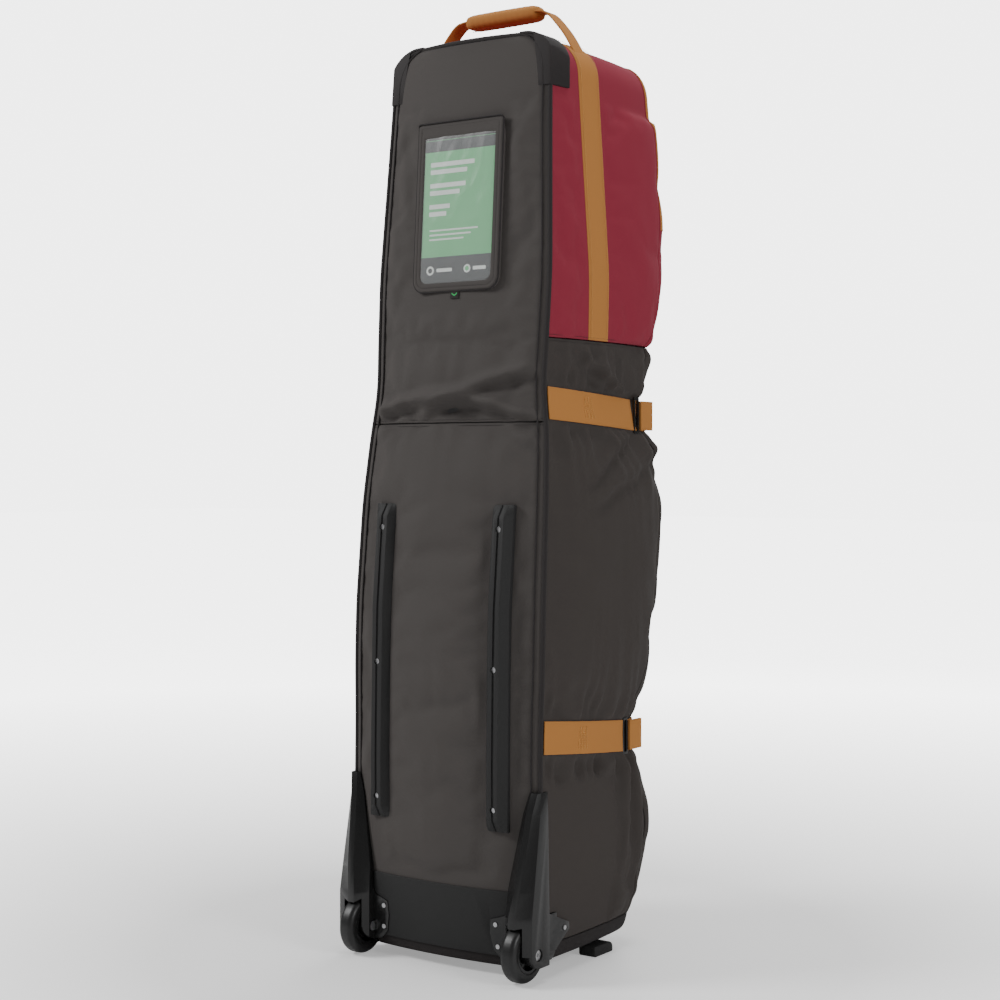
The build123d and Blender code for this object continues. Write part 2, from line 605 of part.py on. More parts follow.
for hand, x in (("left", -FOOT_X[1]), ("right", FOOT_X[0])):
    with BuildPart() as foot:
        with BuildSketch(Plane.YZ.offset(x)) as profile:
            with Locations((BACK_Y + FOOT_Y[0], 0)):
                Rectangle(FOOT_Y[1] - FOOT_Y[0], CASE_BOTTOM, align=(Align.MIN, Align.MIN))
            fillet(profile.vertices().group_by(Axis.Y)[-1].sort_by(Axis.Z)[0], 9)
            fillet(profile.vertices().group_by(Axis.Y)[0].sort_by(Axis.Z)[0], 4)
        extrude(amount=FOOT_X[1] - FOOT_X[0])
    save(foot.part, "front_foot_" + hand)

# ---------------------------------------------------------------- skid rails
for hand, side in (("left", -1), ("right", 1)):
    heights = [RAIL_Z[0], RAIL_Z[0] + RAIL_NOSE]
    heights += [s[0] for s in STATIONS if RAIL_Z[0] + RAIL_NOSE < s[0] < RAIL_Z[1] - RAIL_NOSE]
    heights += [RAIL_Z[1] - RAIL_NOSE, RAIL_Z[1]]
    with BuildPart() as rail:
        for z in heights:
            rise = 3.0 if z in (RAIL_Z[0], RAIL_Z[1]) else RAIL_HEIGHT
            floor = crest_y(z, RAIL_X)
            top = floor - rise
            groove = min(RAIL_GROOVE, rise - 1)
            half = RAIL_WIDTH / 2
            crest = RAIL_CREST / 2
            outline = [
                (-half, floor + 8),
                (-half, floor - 2.5),
                (-crest - 2, top + 0.2 * rise),
                (-crest, top),
                (-RAIL_GROOVE, top),
                (-RAIL_GROOVE, top + groove),
                (RAIL_GROOVE, top + groove),
                (RAIL_GROOVE, top),
                (crest, top),
                (crest + 2, top + 0.2 * rise),
                (half, floor - 2.5),
                (half, floor + 8),
            ]
            with BuildSketch(Plane.XY.offset(z)):
                with BuildLine():
                    Polyline(*[(side * RAIL_X + dx, y) for dx, y in outline], close=True)
                make_face()
        loft(ruled=True)
        add(outer, mode=Mode.SUBTRACT)
        for z in RIVET_Z:
            with BuildSketch(Plane.XZ.offset(-crest_y(z, RAIL_X) + RAIL_HEIGHT - RIVET_SINK - RIVET_HEIGHT)):
                with Locations((side * RAIL_X, z)):
                    Circle(RIVET_R)
            extrude(amount=RIVET_SINK + RIVET_HEIGHT + 1, mode=Mode.SUBTRACT)
    save(rail.part, "skid_rail_" + hand)

with BuildPart() as rail_rivets:
    for side in (-1, 1):
        for z in RIVET_Z:
            with BuildSketch(Plane.XZ.offset(-crest_y(z, RAIL_X) + RAIL_HEIGHT - RIVET_SINK - RIVET_HEIGHT)):
                with Locations((side * RAIL_X, z)):
                    Circle(RIVET_R)
            extrude(amount=RIVET_HEIGHT)
    fillet(rail_rivets.faces().group_by(Axis.Y)[0].edges(), 1.0)
save(rail_rivets.part, "rail_rivets")

# ---------------------------------------------------------------- label pocket
lean_rate = (crest_y(1190.0) - crest_y(960.0)) / (1190.0 - 960.0)
lean = math.atan(lean_rate)
pocket = Plane(
    origin=(0, crest_y(LABEL_Z), LABEL_Z), x_dir=(1, 0, 0), z_dir=(0, -math.cos(lean), math.sin(lean))
)
half_tall = LABEL_SIZE[1] / 2
with BuildPart() as label_frame:
    with BuildSketch(pocket.offset(-12)) as frame_face:
        Rectangle(*LABEL_SIZE)
        fillet(frame_face.vertices().group_by(Axis.Z)[0], LABEL_CORNER_R)
    extrude(amount=12 + LABEL_FRAME_PROUD)
    add(outer, mode=Mode.SUBTRACT)
    with BuildSketch(pocket.offset(CARD_GAP)):
        with Locations((0, -half_tall + CARD_SLOT_FOOT)):
            Rectangle(CARD_SIZE[0] + 1, LABEL_SIZE[1], align=(Align.CENTER, Align.MIN))
    extrude(amount=CARD_THICKNESS + 0.6, mode=Mode.SUBTRACT)
    with BuildSketch(pocket.offset(CARD_GAP + CARD_THICKNESS + 0.6)):
        with Locations((0, WINDOW_SHIFT)):
            Rectangle(WINDOW_SIZE[0], WINDOW_SIZE[1])
    extrude(amount=WINDOW_THICKNESS, mode=Mode.SUBTRACT)
    with BuildSketch(pocket.offset(CARD_GAP)):
        with Locations((0, WINDOW_SHIFT)):
            RectangleRounded(WINDOW_SIZE[0] - 8, WINDOW_SIZE[1] - 8, 6)
    extrude(amount=12, mode=Mode.SUBTRACT)
save(label_frame.part, "label_frame")

with BuildPart() as label_window:
    with BuildSketch(pocket.offset(CARD_GAP + CARD_THICKNESS + 0.6)):
        with Locations((0, WINDOW_SHIFT)):
            Rectangle(WINDOW_SIZE[0], WINDOW_SIZE[1])
    extrude(amount=WINDOW_THICKNESS)
save(label_window.part, "label_window")

with BuildPart() as label_card:
    with BuildSketch(pocket.offset(CARD_GAP + 0.3)):
        with Locations((0, -half_tall + CARD_SLOT_FOOT + 0.5)):
            Rectangle(*CARD_SIZE, align=(Align.CENTER, Align.MIN))
    extrude(amount=CARD_THICKNESS)
save(label_card.part, "label_card")

with BuildPart() as label_tag:
    with BuildSketch(pocket.offset(-4)):
        with Locations((0, -half_tall)):
            Rectangle(*TAG_SIZE, align=(Align.CENTER, Align.MAX))
    extrude(amount=4 + TAG_THICKNESS)
    add(outer, mode=Mode.SUBTRACT)
save(label_tag.part, "label_tag")

# ---------------------------------------------------------------- zip sliders and pulls
face_y = front_y((SLIDER_Z[0] + SLIDER_Z[1]) / 2)
for level, z, shift in (("upper", SLIDER_Z[0], -PULL_SHIFT), ("lower", SLIDER_Z[1], PULL_SHIFT)):
    pull_x = DOOR_HALF_WIDTH + shift
    plate = (face_y + WEBBING + 0.6, face_y + WEBBING + 0.6 + SLIDER_PLATE)
    with BuildPart() as slider:
        with BuildSketch(Plane.XZ.offset(-plate[0])):
            with Locations((DOOR_HALF_WIDTH, z)):
                RectangleRounded(SLIDER_SIZE[0], SLIDER_SIZE[1], 4)
        extrude(amount=-SLIDER_PLATE)
        keel_x = (DOOR_HALF_WIDTH - 0.4, DOOR_HALF_WIDTH + 0.4)
        add(block(keel_x, (face_y - 2, plate[0]), (z - 6, z + 6)))
        with BuildSketch(Plane.YZ.offset(pull_x - BRIDGE_HALF)):
            with Locations((plate[1], z)):
                Rectangle(PULL_RISE + 3.2, 6.4, align=(Align.MIN, Align.CENTER))
            with Locations((plate[1] + PULL_RISE, z)):
                Circle(PIN_R + 0.3, mode=Mode.SUBTRACT)
        extrude(amount=2 * BRIDGE_HALF)
    save(slider.part, "zip_slider_" + level)

    pin_y = plate[1] + PULL_RISE
    with BuildPart() as pull:
        with BuildSketch(Plane.XZ.offset(-(pin_y - PULL_THICKNESS / 2))):
            with Locations((pull_x, z + PIN_R + 0.6)):
                Rectangle(PULL_WIDTH, PULL_LENGTH, align=(Align.CENTER, Align.MAX))
            with Locations((pull_x, z + PIN_R + 1)):
                Rectangle(2 * BRIDGE_HALF + 0.6, 9.0, align=(Align.CENTER, Align.MAX), mode=Mode.SUBTRACT)
        extrude(amount=-PULL_THICKNESS)
        add(rod((pull_x - PULL_WIDTH / 2, pull_x + PULL_WIDTH / 2), pin_y, z, PIN_R))
    save(pull.part, "zip_pull_" + level)

# ---------------------------------------------------------------- inside the case
board_zone = block((-BOARD_HALF, BOARD_HALF), everywhere, BOARD_Z)
board_side = zone(Plane.YZ, beside(lambda z: back_y(z) + 9.0, -FAR))
board_back = case_body(-WALL)
board_front = case_body(-WALL - BOARD)
save(cut(board_back, keep=[board_zone, board_side], remove=[board_front]), "back_board")

strap_zone = block((-BOARD_HALF + 12, BOARD_HALF - 12), everywhere, INNER_STRAP_Z)
inner_strap = cut(
    board_front, keep=[strap_zone, board_side], remove=[case_body(-WALL - BOARD - WEBBING)]
)
save(inner_strap, "inner_strap")

buckle_y = crest_y(sum(INNER_STRAP_Z) / 2) + WALL + BOARD + WEBBING
with BuildPart() as inner_buckle:
    with BuildSketch(Plane.XZ.offset(-buckle_y - 2.6)):
        with Locations((0, sum(INNER_STRAP_Z) / 2)):
            RectangleRounded(*BUCKLE_SIZE, 6)
            with GridLocations(BUCKLE_SIZE[0] / 2, 1, 2, 1):
                Rectangle(5, BUCKLE_SIZE[1] - 12, mode=Mode.SUBTRACT)
    extrude(amount=-BUCKLE_THICKNESS)
save(inner_buckle.part, "inner_buckle")

pad_y = (back_y(CASE_TOP) + 14, front_y(CASE_TOP) - 14)
with BuildPart() as top_foam_pad:
    with Locations((0, sum(pad_y) / 2, CASE_TOP - WALL - PAD_THICKNESS / 2)):
        Box(2 * flat_top - 4, pad_y[1] - pad_y[0], PAD_THICKNESS)
    fillet(top_foam_pad.edges().filter_by(Axis.Z), 20)
save(top_foam_pad.part, "top_foam_pad")
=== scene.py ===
"""Golf travel case: padded cloth, webbing, trim and finishes, sewn around the case's fixed frame.

Lengths are metres in the frame's own axes: +Z up, -Y the padded back, +Y the zipped front.
"""

import math

import bpy
import numpy as np
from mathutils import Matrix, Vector, noise


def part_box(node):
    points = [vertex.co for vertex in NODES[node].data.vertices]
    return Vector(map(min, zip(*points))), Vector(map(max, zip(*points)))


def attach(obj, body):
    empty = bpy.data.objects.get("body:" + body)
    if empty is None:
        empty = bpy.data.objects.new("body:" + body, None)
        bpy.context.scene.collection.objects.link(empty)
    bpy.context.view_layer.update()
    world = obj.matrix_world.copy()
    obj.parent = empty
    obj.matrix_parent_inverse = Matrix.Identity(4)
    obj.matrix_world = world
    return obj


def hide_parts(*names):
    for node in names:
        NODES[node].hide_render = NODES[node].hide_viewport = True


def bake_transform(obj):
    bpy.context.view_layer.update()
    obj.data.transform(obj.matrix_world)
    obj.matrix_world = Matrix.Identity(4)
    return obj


bl_info = {
    "name": "Golf travel case",
    "version": (1, 0, 0),
    "blender": (4, 5, 0),
    "location": "View3D > Sidebar > Travel cover",
    "description": "Sews the cloth, webbing and trim of a wheeled golf travel case",
    "category": "Add Mesh",
}

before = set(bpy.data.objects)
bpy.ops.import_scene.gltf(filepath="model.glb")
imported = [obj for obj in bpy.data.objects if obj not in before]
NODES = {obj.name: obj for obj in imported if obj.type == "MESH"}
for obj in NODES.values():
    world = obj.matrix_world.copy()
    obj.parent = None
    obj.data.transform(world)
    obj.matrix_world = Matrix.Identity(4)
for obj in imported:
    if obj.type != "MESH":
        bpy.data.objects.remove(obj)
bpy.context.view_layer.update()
SHELL = {}  # the simulated surface, kept for the trim that lies on it
HANDS = (("left", -1), ("right", 1))

# ---------------------------------------------------------------- pattern of the case
BACK_Y = -0.15472
# height, lean of the back seam, depth, half width, crown of the back, bulge of the sides
STATIONS = 0.001 * np.array([
    (15.0, 0.0, 246.0, 152.0, 10.0, 4.0),
    (60.0, 0.0, 258.0, 157.0, 18.0, 7.0),
    (173.0, 0.0, 292.0, 159.0, 25.0, 13.0),
    (285.0, 0.5, 256.0, 158.0, 27.0, 7.0),
    (335.0, 1.0, 254.0, 158.0, 27.0, 7.0),
    (410.0, 2.5, 288.0, 160.0, 27.0, 13.0),
    (495.0, 5.0, 303.0, 160.0, 27.0, 15.0),
    (640.0, 16.0, 312.0, 157.0, 25.0, 14.0),
    (735.0, 27.0, 290.0, 151.0, 19.0, 8.0),
    (755.0, 28.5, 272.0, 148.0, 17.0, 6.0),
    (800.0, 31.7, 267.0, 142.0, 17.0, 6.0),
    (850.0, 35.0, 289.0, 144.0, 17.0, 10.0),
    (960.0, 42.2, 308.0, 146.0, 17.0, 12.0),
    (1190.0, 57.3, 293.0, 136.0, 17.0, 10.0),
    (1290.0, 63.8, 276.0, 133.0, 10.0, 8.0),
])
CASE_BOTTOM, CASE_TOP = STATIONS[0, 0], STATIONS[-1, 0]
BLUR = 0.001 * np.array([-22.0, -11.0, 0.0, 11.0, 22.0])
FRONT_CORNER_R = 0.026
RING_BACK = 0.040  # the strap rings stand this far behind the front
RING_HALF = 0.0065
FRONT_INSET = 0.003
SHOULDER_R, FOOT_R = 0.050, 0.022
SHOULDER_X = 0.141
FOOT_X = 0.156
BOOT_TOP, WAIST_SEAM, COLOUR_SEAM = 0.046, 0.751, 0.866
DOOR_X, DOOR_BOTTOM, DOOR_TOP, DOOR_R = 0.088, 0.112, 1.232, 0.055
HOUSING_TOP = 0.254
RAIL_X, RAIL_Z = 0.100, (0.190, 0.648)
STRAPS = {"upper": (0.777, 0.764), "lower": (0.327, 0.305)}
STRAP_HALF = 0.0225
WEBBING_Y = (0.0, -0.0087)  # middle of the side webbing at its foot and at the top
WEBBING_HALF = 0.025
WEBBING_THICK = 0.0020
ON_TOP = 0.0029  # thread lying on webbing stands this far off the cloth
DOOR_GAP = 0.0012  # from the middle of the zip to the door's cloth and to the surround's
TOUCH = 1e-6
POCKET_WIDE, POCKET_TALL, POCKET_R, POCKET_HEAD_R = 0.146, 0.241, 0.018, 0.0035
POCKET_Z = 1.0555  # height of the label pocket's middle
TAG_DOWN = 0.1245  # from there down the slope to the tag

# upright creases of the sides: place in y, depth, drift in y with height
CREASES = ((0.030, 0.0130, 0.05), (0.070, 0.0095, -0.03), (-0.022, 0.0080, 0.08), (0.102, 0.0060, 0.02))
# slanting folds at the waist: slope, height, depth
SLANTS = ((0.55, 0.690, 0.0085), (0.35, 0.655, 0.0065), (-0.5, 0.842, 0.0070))

# name, place, aim, size and power of each light
LIGHTS = (
    ("key", (-2.2, -1.9, 2.6), (0.0, 0.0, 0.75), 1.1, 78.0),
    ("fill", (3.4, -0.6, 1.9), (0.0, 0.0, 0.7), 1.2, 46.0),
    ("top", (0.2, 0.4, 3.6), (0.0, 0.0, 0.9), 1.4, 46.0),
    ("front", (-0.8, 3.2, 1.9), (0.0, 0.0, 0.7), 2.0, 45.0),
)
CAMERA_PLACE = (1.5368, -2.2168, 0.6913)
CAMERA_TURN = math.radians(35)
CAMERA_LENS, CAMERA_SHIFT = 66.79, -0.0343
WORLD_LIGHT, WORLD_SEEN = 0.17, 4.5


def station(z, column):
    """A pattern column at height z, blurred so that the outline has no corners."""
    z = np.asarray(z, float)
    blurred = [np.interp(z + step, STATIONS[:, 0], STATIONS[:, column]) for step in BLUR]
    return np.mean(blurred, axis=0)


def narrowing(z):
    """How far the outline seen from behind closes in at the shoulders and at the foot."""
    z = np.asarray(z, float)
    up = np.clip(z - (CASE_TOP - SHOULDER_R), 0, SHOULDER_R)
    down = np.clip(CASE_BOTTOM + FOOT_R - z, 0, FOOT_R)
    top = (SHOULDER_X - SHOULDER_R + np.sqrt(SHOULDER_R**2 - up**2)) / SHOULDER_X
    foot = (FOOT_X - FOOT_R + np.sqrt(FOOT_R**2 - down**2)) / FOOT_X
    return top * foot


def skin(z, u):
    """Point of the case's outside at height z. u runs 0 to 1 from the middle of the back to its seam,
    to 2 along the side, to 3 round the front corner, to 4 at the zip and to 5 at the middle of the
    front; the left side has the same values below zero."""
    z, u = np.broadcast_arrays(np.asarray(z, float), np.asarray(u, float))
    hand, a = np.where(u < 0, -1.0, 1.0), np.abs(u)
    half = station(z, 3)
    x_front = half - FRONT_INSET
    y_back = BACK_Y + station(z, 1)
    y_front = y_back + station(z, 2)
    y_corner = y_front - FRONT_CORNER_R
    flat = x_front - FRONT_CORNER_R
    share = np.clip(a - 1, 0, 1)
    turn = np.clip(a - 2, 0, 1) * math.pi / 2
    zipper = np.minimum(DOOR_X, flat - 0.002)
    margin, door = np.clip(a - 3, 0, 1), np.clip(a - 4, 0, 1)
    x = np.select(
        [a <= 1, a <= 2, a <= 3, a <= 4],
        [
            half * a,
            half - FRONT_INSET * share + station(z, 5) * 4 * share * (1 - share),
            flat + FRONT_CORNER_R * np.cos(turn),
            flat + (zipper - flat) * margin,
        ],
        zipper * (1 - door),
    )
    y = np.select(
        [a <= 1, a <= 2, a <= 3, a <= 4],
        [
            y_back - station(z, 4) * (1 - a**2),
            y_back + (y_corner - y_back) * share,
            y_corner + FRONT_CORNER_R * np.sin(turn),
            y_front,
        ],
        y_front + 0.006 * np.sin(door * math.pi / 2),
    )
    return np.stack([hand * x * narrowing(z), y, z], axis=-1)


def outward(z, u):
    """Unit normal of the case's outside."""
    z, u = np.broadcast_arrays(np.asarray(z, float), np.asarray(u, float))
    low, high = np.maximum(z - 0.004, CASE_BOTTOM), np.minimum(z + 0.004, CASE_TOP)
    along_u = skin(z, u + 0.01) - skin(z, u - 0.01)
    along_z = skin(high, u) - skin(low, u)
    normal = np.cross(along_u, along_z)
    return normal / np.maximum(np.linalg.norm(normal, axis=-1, keepdims=True), 1e-9)


def side_u(z, y):
    """The section value on the right side at height z and depth y."""
    y_back = BACK_Y + station(z, 1)
    y_corner = y_back + station(z, 2) - FRONT_CORNER_R
    return 1 + (y - y_back) / (y_corner - y_back)


def strap_line(level, y):
    """Height of a compression strap's middle at depth y."""
    high, low = STRAPS[level]
    y_high = BACK_Y + station(high, 1)
    y_low = BACK_Y + station(low, 1) + station(low, 2) - RING_BACK
    return high + (low - high) * np.clip((y - y_high) / (y_low - y_high), 0, 1)


def front_point(x, z, lift=0.0):
    """Points of the simulated cloth over the front of the case."""
    points = []
    for across, height in zip(x, z):
        ring, _ = ring_of(SHELL["cloth"], height)
        points.append(across_front(ring, np.array([across]))[0])
    points = np.array(points)
    points[:, 1] += lift
    return points


def on_cloth(z, u, lift):
    """Points of the simulated cloth at heights z and section values u, lifted off it."""
    _, columns, _, _ = SHELL["cloth"]
    half = SEAM_COLUMNS["door"]
    rights = np.arange(half + 1)
    lefts = (len(columns) - rights) % len(columns)
    z, u = np.broadcast_arrays(np.asarray(z, float), np.asarray(u, float))
    points = np.zeros(z.shape + (3,))
    for index in np.ndindex(z.shape):
        ring, turn = ring_of(SHELL["cloth"], z[index])
        chosen = rights if u[index] >= 0 else lefts
        here = np.array([np.interp(abs(u[index]), columns[:half + 1], ring[chosen, k]) for k in range(3)])
        away = np.array([np.interp(abs(u[index]), columns[:half + 1], turn[chosen, k]) for k in range(3)])
        points[index] = here + away * lift
    return points


# ---------------------------------------------------------------- mesh helpers
def only(piece):
    """Selects one object alone and makes it the active one."""
    bpy.ops.object.select_all(action="DESELECT")
    piece.select_set(True)
    bpy.context.view_layer.objects.active = piece


def mesh_piece(name, points, faces, uv=None):
    """A new mesh object at the origin from points, faces and one UV pair for each point."""
    mesh = bpy.data.meshes.new(name)
    mesh.from_pydata([tuple(map(float, p)) for p in points], [], faces)
    if uv is not None:
        layer = mesh.uv_layers.new(name="cut")
        corners = np.zeros(len(mesh.loops), np.int32)
        mesh.loops.foreach_get("vertex_index", corners)
        layer.data.foreach_set("uv", np.asarray(uv, np.float32)[corners].ravel())
    mesh.update()
    piece = bpy.data.objects.new(name, mesh)
    bpy.context.scene.collection.objects.link(piece)
    return piece


def finish_mesh(piece, modifiers=(), smooth_angle=40.0):
    """Applies the modifiers in order and smooths the shading."""
    only(piece)
    for kind, settings in modifiers:
        bpy.ops.object.modifier_add(type=kind)
        modifier = piece.modifiers[-1]
        for key, value in settings.items():
            setattr(modifier, key, value)
        bpy.ops.object.modifier_apply(modifier=modifier.name)
    bpy.ops.object.shade_smooth_by_angle(angle=math.radians(smooth_angle))
    return piece


def thick(depth, offset=-1.0):
    """Modifier that gives a surface its thickness."""
    return ("SOLIDIFY", {"thickness": depth, "offset": offset, "use_even_offset": True})


def rounded(levels=1):
    """Modifier that rounds a coarse mesh."""
    return ("SUBSURF", {"levels": levels, "render_levels": levels})


def edges(width, segments=2, angle=35.0):
    """Modifier that softens the sharp edges."""
    return (
        "BEVEL",
        {"width": width, "segments": segments, "limit_method": "ANGLE", "angle_limit": math.radians(angle)},
    )


def fit(piece, body, finish, slot, *stands_for, fill=None):
    """Gives a piece its finish, its body and the frame parts it stands for."""
    piece.data.materials.clear()
    piece.data.materials.append(finish)
    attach(piece, body)
    if stands_for:
        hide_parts(*stands_for)
    return piece


def grid_faces(rows, columns, wrap=False):
    """Faces of a grid of points stored row by row."""
    last = columns if wrap else columns - 1
    return [
        (r * columns + c, r * columns + (c + 1) % columns,
         (r + 1) * columns + (c + 1) % columns, (r + 1) * columns + c)
        for r in range(rows - 1)
        for c in range(last)
    ]


def tube(name, path, radius, sides=8, closed=False):
    """A round cord along a path of points."""
    path = np.asarray(path, float)
    ahead, behind = np.roll(path, -1, axis=0), np.roll(path, 1, axis=0)
    if not closed:
        ahead[-1], behind[0] = path[-1], path[0]
    along = ahead - behind
    along /= np.linalg.norm(along, axis=1, keepdims=True)
    across = np.cross(along, (0.0, 1.0, 0.0))
    weak = np.linalg.norm(across, axis=1) < 0.05
    across[weak] = np.cross(along[weak], (1.0, 0.0, 0.0))
    across /= np.linalg.norm(across, axis=1, keepdims=True)
    other = np.cross(along, across)
    angles = np.linspace(0, 2 * math.pi, sides, endpoint=False)
    rings = (
        path[:, None, :]
        + radius * np.cos(angles)[None, :, None] * across[:, None, :]
        + radius * np.sin(angles)[None, :, None] * other[:, None, :]
    )
    count = len(path)
    faces = grid_faces(count, sides, wrap=True)
    if closed:
        start = (count - 1) * sides
        faces += [(start + c, start + (c + 1) % sides, (c + 1) % sides, c) for c in range(sides)]
    else:
        faces += [tuple(range(sides))[::-1], tuple(range((count - 1) * sides, count * sides))]
    return mesh_piece(name, rings.reshape(-1, 3), faces)


def faces_out(piece):
    """Turns all of a closed piece's faces outwards."""
    only(piece)
    bpy.ops.object.mode_set(mode="EDIT")
    bpy.ops.mesh.select_all(action="SELECT")
    bpy.ops.mesh.normals_make_consistent(inside=False)
    bpy.ops.object.mode_set(mode="OBJECT")


def joined(name, pieces):
    """Several objects made into one."""
    bpy.ops.object.select_all(action="DESELECT")
    for piece in pieces:
        piece.select_set(True)
    bpy.context.view_layer.objects.active = pieces[0]
    if len(pieces) > 1:
        bpy.ops.object.join()
    pieces[0].name = name
    pieces[0].data.name = name
    return pieces[0]


def moulded(node, name, width=0.0008, segments=2, angle=30.0):
    """A clean copy of a frame part with its sharp edges softened."""
    copy = bpy.data.objects.new(name, NODES[node].data.copy())
    bpy.context.scene.collection.objects.link(copy)
    only(copy)
    bpy.ops.object.mode_set(mode="EDIT")
    bpy.ops.mesh.select_all(action="SELECT")
    bpy.ops.mesh.remove_doubles(threshold=0.00002)
    bpy.ops.mesh.dissolve_limited(angle_limit=math.radians(1.0))
    bpy.ops.object.mode_set(mode="OBJECT")
    bevel = edges(width, segments, angle)
    bevel[1]["use_clamp_overlap"] = True
    return finish_mesh(copy, [bevel], smooth_angle=angle)


# ---------------------------------------------------------------- finishes
def blank_finish(name, colour, roughness):
    """A new material and its shader, with the given base."""
    finish = bpy.data.materials.new(name)
    finish.use_nodes = True
    shader = finish.node_tree.nodes["Principled BSDF"]
    shader.inputs["Base Color"].default_value = (*colour[:3], 1.0)
    shader.inputs["Roughness"].default_value = roughness
    return finish, shader


def add_node(finish, kind, settings=None, **inputs):
    """One node with its settings and input values; an input given a socket is linked to it."""
    node = finish.node_tree.nodes.new(kind)
    for key, value in (settings or {}).items():
        setattr(node, key, value)
    for key, value in inputs.items():
        numbered = key[0] == "i" and key[1:].isdigit()
        socket = node.inputs[int(key[1:]) if numbered else key.replace("_", " ")]
        if isinstance(value, bpy.types.NodeSocket):
            finish.node_tree.links.new(value, socket)
        else:
            socket.default_value = value
    return node


def varied(finish, shader, colour, source, low, high):
    """Base colour that wanders between colour times low and colour times high, by source."""
    ramp = add_node(finish, "ShaderNodeValToRGB", i0=source)
    ramp.color_ramp.elements[0].position = 0.3
    ramp.color_ramp.elements[1].position = 0.7
    ramp.color_ramp.elements[0].color = (*[c * low for c in colour[:3]], 1.0)
    ramp.color_ramp.elements[1].color = (*[min(1.0, c * high) for c in colour[:3]], 1.0)
    finish.node_tree.links.new(ramp.outputs[0], shader.inputs["Base Color"])
    return ramp


def bumped(finish, shader, height, strength, distance):
    """Relief from a height socket."""
    bump = add_node(finish, "ShaderNodeBump", i0=strength, i1=distance)
    finish.node_tree.links.new(height, bump.inputs["Height"])
    finish.node_tree.links.new(bump.outputs[0], shader.inputs["Normal"])
    return bump


def woven_cloth(name, colour, roughness=0.82, thread=0.0011, sheen=0.15, mottle=0.2):
    """Plain-woven polyester: crossed threads, a heathered fleck and slow shading."""
    finish, shader = blank_finish(name, colour, roughness)
    shader.inputs["Sheen Weight"].default_value = sheen
    shader.inputs["Sheen Roughness"].default_value = 0.45
    shader.inputs["Specular IOR Level"].default_value = 0.35
    place = add_node(finish, "ShaderNodeTexCoord").outputs["Object"]
    pitch = 1.0 / thread
    bands = []
    for direction in ("X", "Z"):
        wave = add_node(
            finish, "ShaderNodeTexWave", {"bands_direction": direction},
            Vector=place, Scale=pitch * 0.314, Distortion=1.5, Detail=1.0, Detail_Scale=0.6,
        )
        bands.append(wave.outputs["Fac"])
    weave = add_node(finish, "ShaderNodeMath", {"operation": "MULTIPLY"}, i0=bands[0], i1=bands[1]).outputs[0]
    fleck = add_node(finish, "ShaderNodeTexNoise", Vector=place, Scale=620.0, Detail=2.0).outputs["Fac"]
    cloud = add_node(finish, "ShaderNodeTexNoise", Vector=place, Scale=9.0, Detail=4.0).outputs["Fac"]
    mixed = add_node(
        finish, "ShaderNodeMath", {"operation": "MULTIPLY_ADD"}, i0=fleck, i1=0.55,
        i2=add_node(finish, "ShaderNodeMath", {"operation": "MULTIPLY"}, i0=cloud, i1=0.45).outputs[0],
    ).outputs[0]
    varied(finish, shader, colour, mixed, 1.0 - mottle, 1.0 + mottle)
    height = add_node(
        finish, "ShaderNodeMath", {"operation": "MULTIPLY_ADD"}, i0=fleck, i1=0.6, i2=weave
    ).outputs[0]
    bumped(finish, shader, height, 0.35, 0.0004)
    return finish


def ribbed_webbing(name, colour, roughness=0.75):
    """Woven strap: fine ribs along its length, a herringbone across and denser selvedges."""
    finish, shader = blank_finish(name, colour, roughness)
    shader.inputs["Sheen Weight"].default_value = 0.2
    shader.inputs["Specular IOR Level"].default_value = 0.3
    cut = add_node(finish, "ShaderNodeUVMap", {"uv_map": "cut"}).outputs[0]
    ribs = add_node(
        finish, "ShaderNodeTexWave", {"bands_direction": "Y"}, Vector=cut, Scale=230.0, Distortion=0.6,
        Detail=1.0,
    ).outputs["Fac"]
    picks = add_node(
        finish, "ShaderNodeTexWave", {"bands_direction": "X"}, Vector=cut, Scale=330.0, Distortion=1.2,
        Detail=1.0,
    ).outputs["Fac"]
    fleck = add_node(finish, "ShaderNodeTexNoise", Vector=cut, Scale=160.0, Detail=3.0).outputs["Fac"]
    height = add_node(
        finish, "ShaderNodeMath", {"operation": "MULTIPLY_ADD"}, i0=ribs, i1=0.7, i2=picks
    ).outputs[0]
    varied(finish, shader, colour, fleck, 0.86, 1.12)
    bumped(finish, shader, height, 0.4, 0.0004)
    return finish


def moulded_plastic(name, colour, roughness, grain=0.25, scale=900.0):
    """Moulded plastic or rubber: spark texture, slightly uneven gloss and tone."""
    finish, shader = blank_finish(name, colour, roughness)
    place = add_node(finish, "ShaderNodeTexCoord").outputs["Object"]
    pores = add_node(finish, "ShaderNodeTexNoise", Vector=place, Scale=scale, Detail=2.0).outputs["Fac"]
    haze = add_node(finish, "ShaderNodeTexNoise", Vector=place, Scale=24.0, Detail=4.0).outputs["Fac"]
    varied(finish, shader, colour, haze, 0.85, 1.2)
    gloss = add_node(
        finish, "ShaderNodeMapRange", Value=haze, i3=max(0.05, roughness - 0.08), i4=min(1.0, roughness + 0.1)
    ).outputs[0]
    finish.node_tree.links.new(gloss, shader.inputs["Roughness"])
    bumped(finish, shader, pores, grain, 0.0003)
    return finish


def plated_steel(name, colour, roughness=0.32):
    """Plated steel with fine turning marks."""
    finish, shader = blank_finish(name, colour, roughness)
    shader.inputs["Metallic"].default_value = 1.0
    place = add_node(finish, "ShaderNodeTexCoord").outputs["Object"]
    marks = add_node(finish, "ShaderNodeTexNoise", Vector=place, Scale=500.0, Detail=3.0).outputs["Fac"]
    varied(finish, shader, colour, marks, 0.85, 1.1)
    bumped(finish, shader, marks, 0.15, 0.0001)
    return finish


